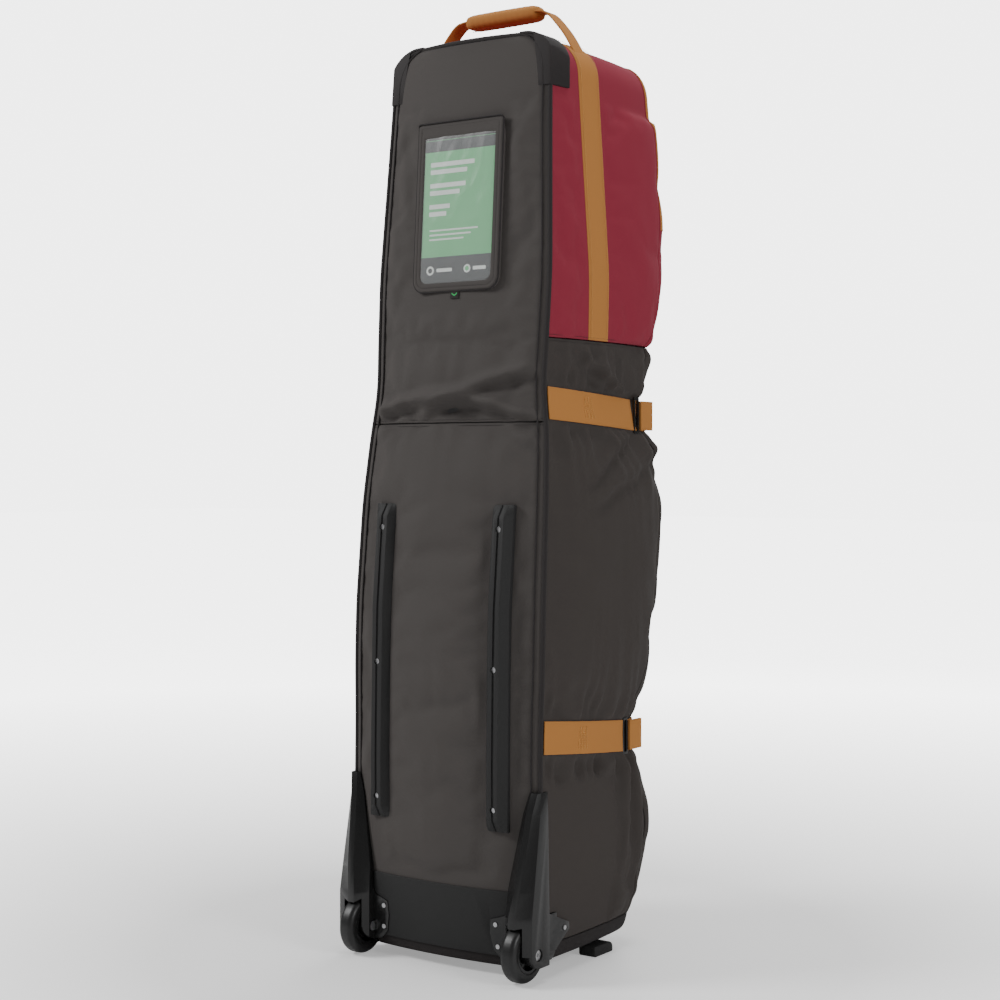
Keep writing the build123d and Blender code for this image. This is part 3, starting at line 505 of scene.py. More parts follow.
def clear_sheet(name, colour, roughness=0.12):
    """Clear supple vinyl: see-through, with painted highlight: its near-white colour turns partly opaque in
    bands along the crease noise, standing in for reflections.
    """
    finish, shader = blank_finish(name, colour, roughness)
    place = add_node(finish, "ShaderNodeTexCoord").outputs["Object"]
    turned = add_node(
        finish, "ShaderNodeMapping", Vector=place, Rotation=(0.0, 0.42, 0.0), Scale=(70.0, 20.0, 17.0)
    ).outputs[0]
    waves = add_node(finish, "ShaderNodeTexNoise", Vector=turned, Scale=1.0, Detail=3.0, Distortion=0.8)
    # painted highlight: alpha rises from 0 to 0.45 where the noise is high, so the white base shows there as
    # reflections
    painted_highlight_streaks = add_node(
        finish, "ShaderNodeMapRange", Value=waves.outputs["Fac"], i1=0.67, i2=0.80, i3=0.0, i4=0.45
    ).outputs[0]
    finish.node_tree.links.new(painted_highlight_streaks, shader.inputs["Alpha"])
    bumped(finish, shader, waves.outputs["Fac"], 0.5, 0.004)
    return finish


def printed_card(name, colour, roughness=0.5):
    """Coated card with a faint fibre."""
    finish, shader = blank_finish(name, colour, roughness)
    shader.inputs["Specular IOR Level"].default_value = 0.1
    place = add_node(finish, "ShaderNodeTexCoord").outputs["Object"]
    fibre = add_node(finish, "ShaderNodeTexNoise", Vector=place, Scale=300.0, Detail=3.0).outputs["Fac"]
    varied(finish, shader, colour, fibre, 0.96, 1.04)
    return finish


def material(slot):
    """The material of that name."""
    return bpy.data.materials[slot]


# ---------------------------------------------------------------- the cloth shell
SEAM_ROWS = (CASE_BOTTOM, BOOT_TOP, WAIST_SEAM, COLOUR_SEAM, CASE_TOP - SHOULDER_R, CASE_TOP)
ROW_PITCH = 0.0085
SETTLE_FRAMES = 18  # frames that the cloth is given to fill out
MOST_PUFF = 0.012  # no point moves further than this while it does
HALF_COLUMNS = ((0.0, 1.0, 18), (1.0, 2.0, 34), (2.0, 3.0, 6), (3.0, 4.0, 3), (4.0, 5.0, 10))
SEAM_COLUMNS = {"back": 18, "corner": 52, "front": 58, "door": 71}


def shell_rows():
    """Heights of the shell's rows, with one on each seam and closer ones over the waist."""
    rows = [CASE_BOTTOM]
    for low, high in zip(SEAM_ROWS, SEAM_ROWS[1:]):
        pitch = ROW_PITCH * (0.55 if low == WAIST_SEAM else 1.0)
        steps = max(1, round((high - low) / pitch))
        rows += list(np.linspace(low, high, steps + 1)[1:])
    return np.array(rows)


def shell_columns():
    """Section values from the middle of the back, round the right side, to the middle of the front."""
    columns = [0.0]
    for low, high, steps in HALF_COLUMNS:
        columns += list(np.linspace(low, high, steps + 1)[1:])
    return np.array(columns)


def hollow(value, middle, width):
    """A smooth bump of height one around the middle."""
    return np.exp(-(((value - middle) / width) ** 2))


def cloth_folds(points, z, u):
    """How far each point of the cloth moves outwards in sewn-in slack, gathers and creases."""
    hand, a = np.where(u < 0, -1.0, 1.0), np.abs(u)
    x, y = points[:, 0], points[:, 1]
    back, side, front = a <= 1, (a > 1) & (a <= 2.4), a > 2.4
    lift = np.zeros(len(z))

    # slack of the upper back panel lying over the waist seam in three uneven swags
    swag = 0.791 - 0.031 * (np.abs(x + 0.020) / 0.135) ** 1.5 + 0.003 * np.sin(26 * x)
    lift += back * (0.0155 * hollow(z, swag, 0.009) - 0.0105 * hollow(z, swag - 0.014, 0.0055))
    second = 0.822 - 0.040 * (np.abs(x - 0.12) / 0.13) ** 1.4
    third = 0.779 - 0.020 * (np.abs(x + 0.010) / 0.075) ** 1.6
    lift += back * (0.0075 * hollow(z, third, 0.006) - 0.0030 * hollow(z, third - 0.010, 0.005))
    reach = np.clip((x + 0.08) / 0.04, 0, 1)
    lift += back * reach * (0.0085 * hollow(z, second, 0.009) - 0.0060 * hollow(z, second - 0.015, 0.007))

    # gathers running up and down from each strap
    for level, seed in (("upper", 3.1), ("lower", 8.7)):
        line = strap_line(level, y)
        gap = np.abs(z - line) - STRAP_HALF
        fade = np.exp(-np.clip(gap, 0, None) / 0.05) * np.clip((gap + 0.004) / 0.02, 0, 1)
        phase = y * 190 + seed + 2.4 * np.sin(y * 61 + seed) + hand * 1.3 + (z - line) * 22 * np.sin(y * 31)
        lift += side * 0.0120 * (0.7 - 1.6 * np.abs(np.sin(phase / 2)) ** 0.8) * fade
        ripple = np.sin(x * 160 + seed * 2 + 1.5 * np.sin(x * 71))
        lift += back * 0.0014 * ripple * fade
        lift += front * 0.0022 * np.sin(x * 150 + seed + 1.8 * np.sin(x * 43)) * fade

    # long upright creases on the sides below the lower strap
    fall = np.clip((0.30 - z) / 0.03, 0, 1) * np.clip((z - 0.06) / 0.12, 0, 1)
    for centre, depth, drift in CREASES:
        lift -= side * depth * hollow(y, centre + drift * (z - 0.18) + 0.002 * np.sin(z * 60), 0.006) * fall
        lift += side * 0.6 * depth * hollow(y, centre + 0.016 + drift * (z - 0.18), 0.009) * fall

    # slanting folds where the side is drawn in at the waist
    for slope, offset, depth in SLANTS:
        crest = offset + slope * (y + 0.02) + 0.003 * np.sin(y * 70)
        reach = np.clip((y + 0.09) / 0.08, 0, 1)
        lift += side * reach * depth * (hollow(z, crest, 0.009) - 0.8 * hollow(z, crest - 0.017, 0.009))
    return lift


def slow_waves(points, amount):
    """Wandering unevenness of a soft surface."""
    return np.array([
        amount * (noise.noise(Vector((p[0] * 11, p[1] * 11, p[2] * 7 + 3.7)))
                  + 0.45 * noise.noise(Vector((p[0] * 31, p[1] * 31, p[2] * 19))))
        for p in points
    ])


def held_down(points, z, u):
    """How firmly each point of the cloth is held by seams, straps, plates and boards, 0 to 1."""
    a, x, y = np.abs(u), points[:, 0], points[:, 1]
    near_seam = np.min([np.abs(z - row) for row in SEAM_ROWS], axis=0)
    hold = np.clip(1.25 - near_seam / 0.008, 0, 1)
    hold = np.maximum(hold, z < BOOT_TOP + 0.004)
    behind, beside = np.clip(2.6 - (1 - a) / 0.055, 0, 1), np.clip(1.3 - (a - 1) / 0.055, 0, 1)
    hold = np.maximum(hold, np.where(a <= 1, behind, beside))
    side = (a > 1) & (a < 2.2) & (z > COLOUR_SEAM)
    webbing = np.interp(z, (CASE_BOTTOM, CASE_TOP), WEBBING_Y)
    off = np.abs(y - webbing) - WEBBING_HALF
    hold = np.maximum(hold, side * np.clip(1.9 - np.abs(off) / 0.009, 0, 1))
    hold = np.maximum(hold, side * (off < 0))
    for level in STRAPS:
        off = np.abs(z - strap_line(level, y)) - STRAP_HALF
        hold = np.maximum(hold, (a > 0.97) * (a < 3.5) * np.clip(1 - (off - 0.002) / 0.008, 0, 1))
    back = a <= 1
    hold = np.maximum(hold, back * (np.abs(np.abs(x) - RAIL_X) < 0.022) * (z > RAIL_Z[0]) * (z < RAIL_Z[1]))
    hold = np.maximum(hold, (a < 1.75) * (np.abs(x) > 0.09) * (z < HOUSING_TOP + 0.008))
    hold = np.maximum(hold, back * (z > 0.016) * (z < 0.132))
    # the label pocket, and the way its card slides up the back
    hold = np.maximum(hold, back * np.clip((0.092 - np.abs(x)) / 0.016, 0, 1) * (z > 0.905))
    hold = np.maximum(hold, (a > 0.55) * (z > 1.205))
    ring = (a > 2.95) & (z > DOOR_BOTTOM - 0.02) & (z < DOOR_TOP + 0.02)
    near_zip = np.abs(np.abs(x) - DOOR_X) < 0.014
    hold = np.maximum(hold, ring & near_zip)
    flat_front = a > 3.0
    hold = np.maximum(hold, flat_front & (np.abs(z - DOOR_BOTTOM) < 0.014))
    hold = np.maximum(hold, flat_front & (np.abs(z - DOOR_TOP) < 0.014))
    return np.clip(hold, 0, 1)


def sewn_shell(swell, slack):
    """The whole cloth surface of the case as one grid, filled out and pulled in at its seams."""
    rows, right = shell_rows(), shell_columns()
    columns = np.concatenate([right, -right[-2:0:-1]])
    z = np.repeat(rows, len(columns))
    u = np.tile(columns, len(rows))
    start = skin(z, u)
    normal = outward(z, u)
    # both sides of the middle of the front point straight out of it
    normal[np.abs(np.abs(u) - 5) < 1e-6] = (0.0, 1.0, 0.0)
    hold = held_down(start, z, u)
    free = 1 - hold
    edge_puff = np.exp(-(((np.abs(u) - 2.45) / 0.75) ** 4)) * 0.009 * np.clip((z - 0.03) / 0.05, 0, 1)
    lift = free * (slow_waves(start, 0.0035) + edge_puff)
    count = len(columns)
    shape = start + normal * lift[:, None]
    faces = grid_faces(len(rows), count, wrap=True)

    cloth = mesh_piece("cloth_trial", shape, faces)
    only(cloth)
    group = cloth.vertex_groups.new(name="held")
    for index in np.nonzero(hold > 0.02)[0]:
        group.add([int(index)], float(hold[index]), "REPLACE")
    bpy.ops.object.modifier_add(type="CLOTH")
    settings = cloth.modifiers["Cloth"].settings
    settings.quality = 5
    settings.mass = 0.25
    settings.tension_stiffness = settings.compression_stiffness = 12
    settings.shear_stiffness = 6
    settings.bending_stiffness = 0.6
    settings.vertex_group_mass = "held"
    settings.pin_stiffness = 1.0
    settings.use_pressure = True
    settings.uniform_pressure_force = swell
    settings.shrink_min = -slack
    settings.effector_weights.gravity = 0.0
    cloth.modifiers["Cloth"].collision_settings.use_collision = False
    scene = bpy.context.scene
    for moment in range(1, SETTLE_FRAMES + 1):
        scene.frame_set(moment)
    settled = cloth.evaluated_get(bpy.context.evaluated_depsgraph_get())
    moved = np.zeros(len(z) * 3)
    settled.data.vertices.foreach_get("co", moved)
    moved = moved.reshape(-1, 3)
    scene.frame_set(1)
    bpy.data.objects.remove(cloth, do_unlink=True)
    step = moved - shape
    reach = np.linalg.norm(step, axis=1, keepdims=True)
    limit = MOST_PUFF * (1 - np.exp(-reach / MOST_PUFF))
    shape = shape + step * limit / np.maximum(reach, 1e-9)
    shape = shape + normal * (free * cloth_folds(start, z, u))[:, None]
    return rows, columns, shape.reshape(len(rows), count, 3), normal.reshape(len(rows), count, 3)


def cloth_piece(name, parts, body, slot, *stands_for, depth=0.003, levels=1, fill=0.55):
    """Joins grids of points into one padded panel, drawn in along its open edge."""
    points, faces, start = [], [], 0
    for grid in parts:
        rows, columns = grid.shape[:2]
        points.append(grid.reshape(-1, 3))
        faces += [tuple(start + i for i in face) for face in grid_faces(rows, columns)]
        start += rows * columns
    points = np.concatenate(points)
    keep = []
    for face in faces:
        middle = points[list(face)].mean(axis=0)
        in_well = abs(middle[0]) > 0.1155 and middle[1] < BACK_Y + 0.0375 and middle[2] < 0.0895
        corners = {tuple(np.round(points[i], 6)) for i in face}
        if not in_well and len(corners) > 2:
            keep.append(face)
    piece = mesh_piece(name, points, keep)
    only(piece)
    bpy.ops.object.mode_set(mode="EDIT")
    bpy.ops.mesh.select_all(action="SELECT")
    bpy.ops.mesh.remove_doubles(threshold=0.0002)
    bpy.ops.mesh.delete_loose()
    bpy.ops.object.mode_set(mode="OBJECT")
    finish_mesh(piece, [thick(depth), rounded(levels)], smooth_angle=60)
    return fit(piece, body, material(slot), slot, *stands_for, fill=fill)


def drawn_in(grid, normal, amount=0.0014):
    """A grid with its border rows and columns pulled inwards, as beside a seam."""
    grid = grid.copy()
    border = np.zeros(grid.shape[:2])
    border[0] = border[-1] = 1
    border[:, 0] = border[:, -1] = 1
    return grid - normal * (border * amount)[..., None]


def hemmed(grid, rows=(True, True), columns=(True, True), share=0.25):
    """A grid with an extra line just inside each chosen border, which keeps the border in place."""
    def extra(values, ends):
        first = values[:1] + (values[1:2] - values[:1]) * share
        last = values[-1:] + (values[-2:-1] - values[-1:]) * share
        parts = [values[:1]] + [first] * ends[0] + [values[1:-1]] + [last] * ends[1] + [values[-1:]]
        return np.concatenate(parts)

    grid = extra(grid, rows)
    return extra(grid.swapaxes(0, 1), columns).swapaxes(0, 1)


def ring_of(shell, z):
    """The simulated ring of points at any height."""
    rows, _, points, normal = shell
    index = int(np.clip(np.searchsorted(rows, z) - 1, 0, len(rows) - 2))
    share = (z - rows[index]) / (rows[index + 1] - rows[index])
    share = min(max(share, 0.0), 1.0)
    blend = points[index] * (1 - share) + points[index + 1] * share
    turn = normal[index] * (1 - share) + normal[index + 1] * share
    return blend, turn


def across_front(ring, x):
    """Points of a ring over the front of the case at the given x values."""
    front = ring[SEAM_COLUMNS["corner"]:len(ring) - SEAM_COLUMNS["corner"] + 1][::-1]
    y = np.interp(x, front[:, 0], front[:, 1])
    z = np.interp(x, front[:, 0], front[:, 2])
    return np.stack([x, y, z], axis=-1)


def door_half(z, grow=0.0):
    """Half width of the zipped opening at height z."""
    rise = z - (DOOR_TOP - DOOR_R)
    radius = DOOR_R + grow
    if rise <= 0:
        return DOOR_X + grow
    return DOOR_X - DOOR_R + math.sqrt(max(radius**2 - min(rise, radius) ** 2, 0.0))


def front_rows(low, high, grow=0.0):
    """Row heights between low and high, closer together round the top of the opening."""
    arc = [DOOR_TOP - DOOR_R + (DOOR_R + grow) * math.sin(math.radians(a)) for a in range(10, 91, 10)]
    plain = list(shell_rows())
    rows = [z for z in plain if low < z < high and not arc[0] - 0.004 < z < arc[-1] + 0.003]
    rows += [z for z in arc if low < z <= high]
    return np.array(sorted([low, high] + [z for z in rows if low + 0.002 < z < high - 0.002]))


def back_and_side_panels(shell):
    """Cuts the back panels and the side gussets out of the simulated surface."""
    rows, _, points, normal = shell
    back, corner = SEAM_COLUMNS["back"], SEAM_COLUMNS["corner"]
    spans = {"left": (-corner, -back), "right": (back, corner)}
    cuts = [
        ("quilted_back_lower", BOOT_TOP, WAIST_SEAM, (-back, back), "back_cloth", "back_panel_lower", 0.6),
        ("quilted_back_upper", WAIST_SEAM, CASE_TOP, (-back, back), "back_cloth", "back_panel_upper", 0.6),
    ]
    for hand, _ in HANDS:
        cuts += [
            ("gusset_lower_" + hand, BOOT_TOP, COLOUR_SEAM, spans[hand], "side_cloth",
             "side_panel_lower_" + hand, 0.4),
            ("gusset_upper_" + hand, COLOUR_SEAM, CASE_TOP, spans[hand], "red_cloth",
             "side_panel_upper_" + hand, 0.5),
        ]
    for name, low, high, (first, last), slot, node, fill in cuts:
        chosen = np.nonzero((rows > low - TOUCH) & (rows < high + TOUCH))[0]
        area = np.ix_(chosen, np.arange(first, last + 1) % points.shape[1])
        grid = drawn_in(hemmed(points[area]), hemmed(normal[area]))
        cloth_piece(name, [grid], "shell", slot, node, fill=fill)


def flat_ends(shell):
    """The top and the foot of the case, ring within ring. The foot carries its low wall."""
    rows, _, points, _ = shell
    for name, row, up, slot, node in (
        ("top_cap", -1, 1, "red_cloth", "top_panel"), ("boot_cloth", 0, -1, "boot_cloth", "base_boot"),
    ):
        rim = points[row]
        centre = np.array([0.0, (rim[0, 1] + rim[SEAM_COLUMNS["door"], 1]) / 2, rim[0, 2]])
        nested = []
        for share in [0.0, 0.012, *np.linspace(0.07, 0.985, 13)]:
            ring = rim + (centre - rim) * share
            ring[:, 2] += up * 0.0012 * math.sin(share * math.pi) - (0.0012 if share == 0 and up > 0 else 0)
            nested.append(ring)
        nested = np.array(nested)
        nested = np.concatenate([nested, nested[:, :1]], axis=1)
        parts = [nested]
        if up < 0:
            wall = points[rows < BOOT_TOP + TOUCH]
            wall = np.concatenate([wall, wall[:, :1]], axis=1)
            parts = [nested[::-1], hemmed(wall, (False, True), (False, False))]
        cloth_piece(name, parts, "shell", slot, node, fill=0.5)


def surround_strip(shell, heights, side):
    """Cloth from a front corner to the zipped opening, one line of points at each height."""
    corner, front = SEAM_COLUMNS["corner"], SEAM_COLUMNS["front"]
    strip = []
    for z in heights:
        ring, _ = ring_of(shell, z)
        if DOOR_BOTTOM - DOOR_GAP - TOUCH <= z <= DOOR_TOP + DOOR_GAP:
            inner = door_half(z, DOOR_GAP)
        else:
            inner = DOOR_X + DOOR_GAP if z < DOOR_BOTTOM else DOOR_X - DOOR_R
        around = np.arange(corner, front + 1)
        edge_run = ring[around if side > 0 else len(ring) - around]
        flat_x = edge_run[-1, 0]
        reach = min(inner, abs(flat_x) - 0.001)
        run = across_front(ring, np.linspace(flat_x, side * reach, 8)[1:])
        line = np.concatenate([edge_run, run])
        strip.append(line if side > 0 else line[::-1])
    return hemmed(np.array(strip), (False, False))


def surround_bridge(shell, heights, inner):
    """Cloth right across the front, below or above the opening."""
    bridge = []
    for z in heights:
        ring, _ = ring_of(shell, z)
        half = min(inner, ring[SEAM_COLUMNS["front"], 0] - 0.001)
        bridge.append(across_front(ring, np.linspace(half, -half, 17)))
    return np.array(bridge)


def door_leaf(shell, low, high):
    """Cloth of the door between two heights, tucked in along its border."""
    leaf = []
    heights = front_rows(max(low, DOOR_BOTTOM + 2.5 * DOOR_GAP), min(high, DOOR_TOP - DOOR_GAP), -DOOR_GAP)
    for z in heights:
        ring, _ = ring_of(shell, z)
        half = max(door_half(z, -DOOR_GAP), 0.004)
        line = across_front(ring, half * np.sin(np.linspace(math.pi / 2, -math.pi / 2, 23)))
        line[[0, -1], 1] -= 0.0012
        leaf.append(line)
    leaf = hemmed(np.array(leaf))
    leaf[[0, -1], :, 1] -= 0.0012
    return leaf


def front_panels(shell):
    """The surround of the opening and the door, each in a lower and an upper part."""
    hem = 0.002
    for part, low, high, slot in (
        ("lower", BOOT_TOP, COLOUR_SEAM, "side_cloth"), ("upper", COLOUR_SEAM, CASE_TOP, "red_cloth"),
    ):
        hems = {low + hem, high - hem} | ({DOOR_BOTTOM - DOOR_GAP} if part == "lower" else set())
        heights = np.array(sorted(set(np.round(front_rows(low, high, DOOR_GAP), 6)) | hems))
        strips = [surround_strip(shell, heights, side) for side in (1, -1)]
        if part == "lower":
            below = heights[heights <= DOOR_BOTTOM - DOOR_GAP + TOUCH]
            strips.append(surround_bridge(shell, below, DOOR_X + DOOR_GAP))
        else:
            above = heights[heights >= DOOR_TOP + DOOR_GAP - 1e-4]
            strips.append(surround_bridge(shell, above, DOOR_X - DOOR_R))
        cloth_piece("front_frame_" + part, strips, "shell", slot, "front_surround_" + part, fill=0.45)
        leaf = door_leaf(shell, low, high)
        cloth_piece("flap_" + part, [leaf], "front_door", slot, "door_" + part, fill=0.5)


# ---------------------------------------------------------------- webbing, straps and trim
def band(name, centre, across, depth=WEBBING_THICK):
    """A strip from centre points (n, 3) and widthwise grids (n, m, 3), with UVs in metres."""
    rows, columns = across.shape[:2]
    run = np.concatenate([[0], np.cumsum(np.linalg.norm(np.diff(centre, axis=0), axis=1))])
    width = np.linalg.norm(across[:, 0] - across[:, -1], axis=1).mean()
    uv = np.stack(np.broadcast_arrays(run[:, None], np.linspace(0, width, columns)[None, :]), axis=-1)
    piece = mesh_piece(name, across.reshape(-1, 3), grid_faces(rows, columns), uv.reshape(-1, 2))
    return finish_mesh(piece, [thick(depth, 1.0), edges(0.0005, 2)], smooth_angle=50)


def flat_band(name, path, width_way, width, depth, columns=7):
    """A strip along a path of points, its width along one direction."""
    path = np.asarray(path, float)
    way = np.asarray(width_way, float)
    steps = np.linspace(-width / 2, width / 2, columns)
    across = path[:, None, :] + steps[None, :, None] * way[None, None, :]
    return band(name, path, across, depth)


def smooth_path(points, count):
    """A rounded path through points."""
    points = np.asarray(points, float)
    run = np.concatenate([[0], np.cumsum(np.linalg.norm(np.diff(points, axis=0), axis=1))])
    at = np.linspace(0, run[-1], count)
    path = np.stack([np.interp(at, run, points[:, k]) for k in range(3)], axis=-1)
    for _ in range(4):
        path[1:-1] = 0.25 * path[:-2] + 0.5 * path[1:-1] + 0.25 * path[2:]
    return path


def stitches(name, path, slot, body, gap=0.0032, radius=0.00045, thread=None):
    """A row of thread stitches along a path, in the slot's own finish or another thread."""
    path = np.asarray(path, float)
    run = np.concatenate([[0], np.cumsum(np.linalg.norm(np.diff(path, axis=0), axis=1))])
    marks = np.arange(0, run[-1] - gap, gap)
    points, faces = [], []
    for mark in marks:
        a = np.array([np.interp(mark, run, path[:, k]) for k in range(3)])
        b = np.array([np.interp(mark + gap * 0.72, run, path[:, k]) for k in range(3)])
        along = (b - a) / max(np.linalg.norm(b - a), 1e-9)
        one = np.cross(along, (0.31, 0.71, 0.63))
        one /= np.linalg.norm(one)
        two = np.cross(along, one)
        start = len(points)
        for end, grow in ((a, 0.4), ((a + b) / 2, 1.0), (b, 0.4)):
            for k in range(5):
                angle = 2 * math.pi * k / 5
                points.append(end + radius * grow * (math.cos(angle) * one + math.sin(angle) * two))
        for ring in range(2):
            for k in range(5):
                i, j = start + ring * 5 + k, start + ring * 5 + (k + 1) % 5
                faces.append((i, j, j + 5, i + 5))
        faces += [tuple(start + k for k in range(5))[::-1], tuple(start + 10 + k for k in range(5))]
    piece = mesh_piece(name, points, faces)
    finish_mesh(piece, smooth_angle=80)
    return fit(piece, body, material(thread or slot), slot)


def strap_surface(level, u, across, lift):
    """Points on a strap: section values u and offsets across it, lifted off the cloth."""
    u = np.asarray(u, float)
    z = np.full(u.shape, STRAPS[level][0])
    for _ in range(3):
        z = strap_line(level, skin(z + across, u)[..., 1])
    place = skin(z + across, u)
    return place + outward(z + across, u) * lift


def straps():
    """Compression straps with their rings, folded ends and bartacks."""
    for level in STRAPS:
        for hand, side in HANDS:
            low = STRAPS[level][1]
            ring = BACK_Y + station(low, 1) + station(low, 2) - RING_BACK
            u = np.linspace(1.025, float(side_u(low, ring - RING_HALF)), 46) * side
            steps = np.linspace(-STRAP_HALF, STRAP_HALF, 9) * side
            grid = strap_surface(level, *np.meshgrid(u, -steps, indexing="ij"), 0.0006)
            side_run = band(f"strap_run_{level}_{hand}", grid[:, 4], grid)
            u_end = np.linspace(float(side_u(low, ring + RING_HALF)), 3.4, 26) * side
            z = low + np.linspace(STRAP_HALF, -STRAP_HALF, 9)[None, :] * side * np.ones((26, 1))
            spread = np.repeat(u_end[:, None], 9, axis=1)
            keeper = on_cloth(z, spread, 0.0008)
            front_run = band(f"strap_keeper_{level}_{hand}", keeper[:, 4], keeper)
            whole = joined(f"compression_strap_{level}_{hand}", [side_run, front_run])
            fit(whole, "shell", material("ochre_webbing"), "ochre_webbing", f"{level}_strap_{hand}")

            # zigzag bartack a little behind the middle of the side
            count = np.linspace(0, 6, 145)
            height = STRAP_HALF * 0.70 * (2 * np.abs((count + 1) % 2 - 1) - 1)
            thread = strap_surface(level, (1.36 + 0.016 * count) * side, height, ON_TOP)
            stitches(f"strap_zigzag_{level}_{hand}", thread, "ochre_webbing", "shell", gap=0.0030,
                     radius=0.00065, thread="ochre_thread")

            # folded end beyond the ring
            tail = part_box(f"{level}_strap_tail_{hand}")
            low_corner, high_corner = np.array(tail[0]), np.array(tail[1])
            middle = (low_corner + high_corner) / 2
            span = high_corner - low_corner
            y = np.linspace(low_corner[1] + 0.0003, high_corner[1] - 0.0012, 12)
            x_in = middle[0] - side * (span[0] / 2 - 0.0002)
            x_out = middle[0] + side * (span[0] / 2 - 0.0002)
            loop = [(x_in, v) for v in y] + [(x_out, v) for v in y[::-1]]
            path = np.array([(px, py, middle[2]) for px, py in loop])
            path = np.concatenate([path, path[:1]])
            width = np.linspace(-span[2] / 2 + 0.0003, span[2] / 2 - 0.0003, 7)
            across = path[:, None, :] + width[None, :, None] * np.array([0, 0, 1.0])[None, None, :]
            end = band(f"strap_end_{level}_{hand}", path, across if side < 0 else across[:, ::-1], 0.0012)
            faces_out(end)
            fit(end, f"strap_end_{level}_{hand}", material("ochre_webbing"), "ochre_webbing",
                f"{level}_strap_tail_{hand}")


def side_webbing():
    """The upright webbing on each side of the upper half, over the shoulder to the top."""
    theta = np.linspace(0, math.pi / 2 * 0.985, 12)
    z = np.concatenate([np.linspace(COLOUR_SEAM + 0.001, CASE_TOP - SHOULDER_R, 44)[:-1],
                        CASE_TOP - SHOULDER_R + SHOULDER_R * np.sin(theta)])
    middle = np.interp(z, (COLOUR_SEAM, CASE_TOP), WEBBING_Y)
    for hand, side in HANDS:
        grid, threads = [], ([], [])
        steps = np.linspace(-WEBBING_HALF, WEBBING_HALF, 9)
        for height, centre in zip(z, middle):
            u = side_u(height, centre + steps)
            grid.append(skin(height, u * side) + outward(height, u * side) * 0.0006)
            for row, edge_y in zip(threads, (-WEBBING_HALF + 0.004, WEBBING_HALF - 0.004)):
                at = side_u(height, centre + edge_y) * side
                row.append(skin(height, at) + outward(height, at) * ON_TOP)
        grid = np.array(grid)
        # the rows face outwards on both hands
        grid = grid[:, ::-1] if side > 0 else grid
        piece = band("upright_webbing_" + hand, grid[:, 4], grid)
        fit(piece, "shell", material("ochre_webbing"), "ochre_webbing", "side_webbing_" + hand)
        for label, row in zip(("rear", "fore"), threads):
            stitches(f"webbing_stitch_{label}_{hand}", np.array(row), "ochre_webbing", "shell",
                     thread="ochre_thread")


def piping():
    """Corded piping along the back seams and over the top, the front trim and the seam stitches."""
    lines = []
    for side in (1, -1):
        theta = np.linspace(0, math.pi / 2, 10)
        z = np.concatenate([np.linspace(0.250, CASE_TOP - SHOULDER_R, 110)[:-1],
                            CASE_TOP - SHOULDER_R + SHOULDER_R * np.sin(theta)])
        u = np.full(z.shape, 1.0 * side)
        run = skin(z, u) - outward(z, u * 0.985) * 0.0010
        lines.append(run)
        second = skin(z[:-1], u[:-1] * 0.925) + outward(z[:-1], u[:-1] * 0.925) * 0.0009
        cord = tube(f"inner_piping_{side}", smooth_path(second, 150), 0.0013, 6)
        finish_mesh(cord, smooth_angle=80)
        fit(cord, "shell", material("trim_cloth"), "trim_cloth")
    over = skin(np.full(19, CASE_TOP), np.linspace(1, -1, 19)) + np.array([0, 0.0010, -0.0008])
    path = np.concatenate([lines[0], over[1:-1], lines[1][::-1]])
    cord = tube("back_seam_piping", path, 0.0034, 10)
    finish_mesh(cord, smooth_angle=80)
    fit(cord, "shell", material("trim_cloth"), "trim_cloth", "back_piping")

    # ochre trim beside the front corners, and the stitched seams at the waist and between the colours
    for side in (1, -1):
        theta = np.linspace(0, math.pi / 2 * 0.97, 10)
        z = np.concatenate([np.linspace(1.040, CASE_TOP - SHOULDER_R, 30)[:-1],
                            CASE_TOP - SHOULDER_R + SHOULDER_R * np.sin(theta)])
        spread = np.linspace(2.03, 2.45, 5) * side
        height, u = np.meshgrid(z, spread, indexing="ij")
        grid = on_cloth(height, u, 0.0008)
        trim = band(f"front_trim_{side}", grid[:, 2], grid[:, ::-1], 0.0014)
        fit(trim, "shell", material("ochre_webbing"), "ochre_webbing")
    for label, row, spans in (
        ("waist", WAIST_SEAM, ((-1.0, 1.0),)), ("colour", COLOUR_SEAM, ((1.02, 2.9), (-2.9, -1.02))),
    ):
        for index, (first, last) in enumerate(spans):
            u = np.linspace(first, last, 90)
            for offset in (-0.0042, 0.0042):
                z = np.full(90, row + offset)
                path = skin(z, u) + outward(z, u) * 0.0004
                stitches(f"seam_{label}_{index}_{'below' if offset < 0 else 'above'}", path, "trim_cloth",
                         "shell", gap=0.0034, radius=0.0004)


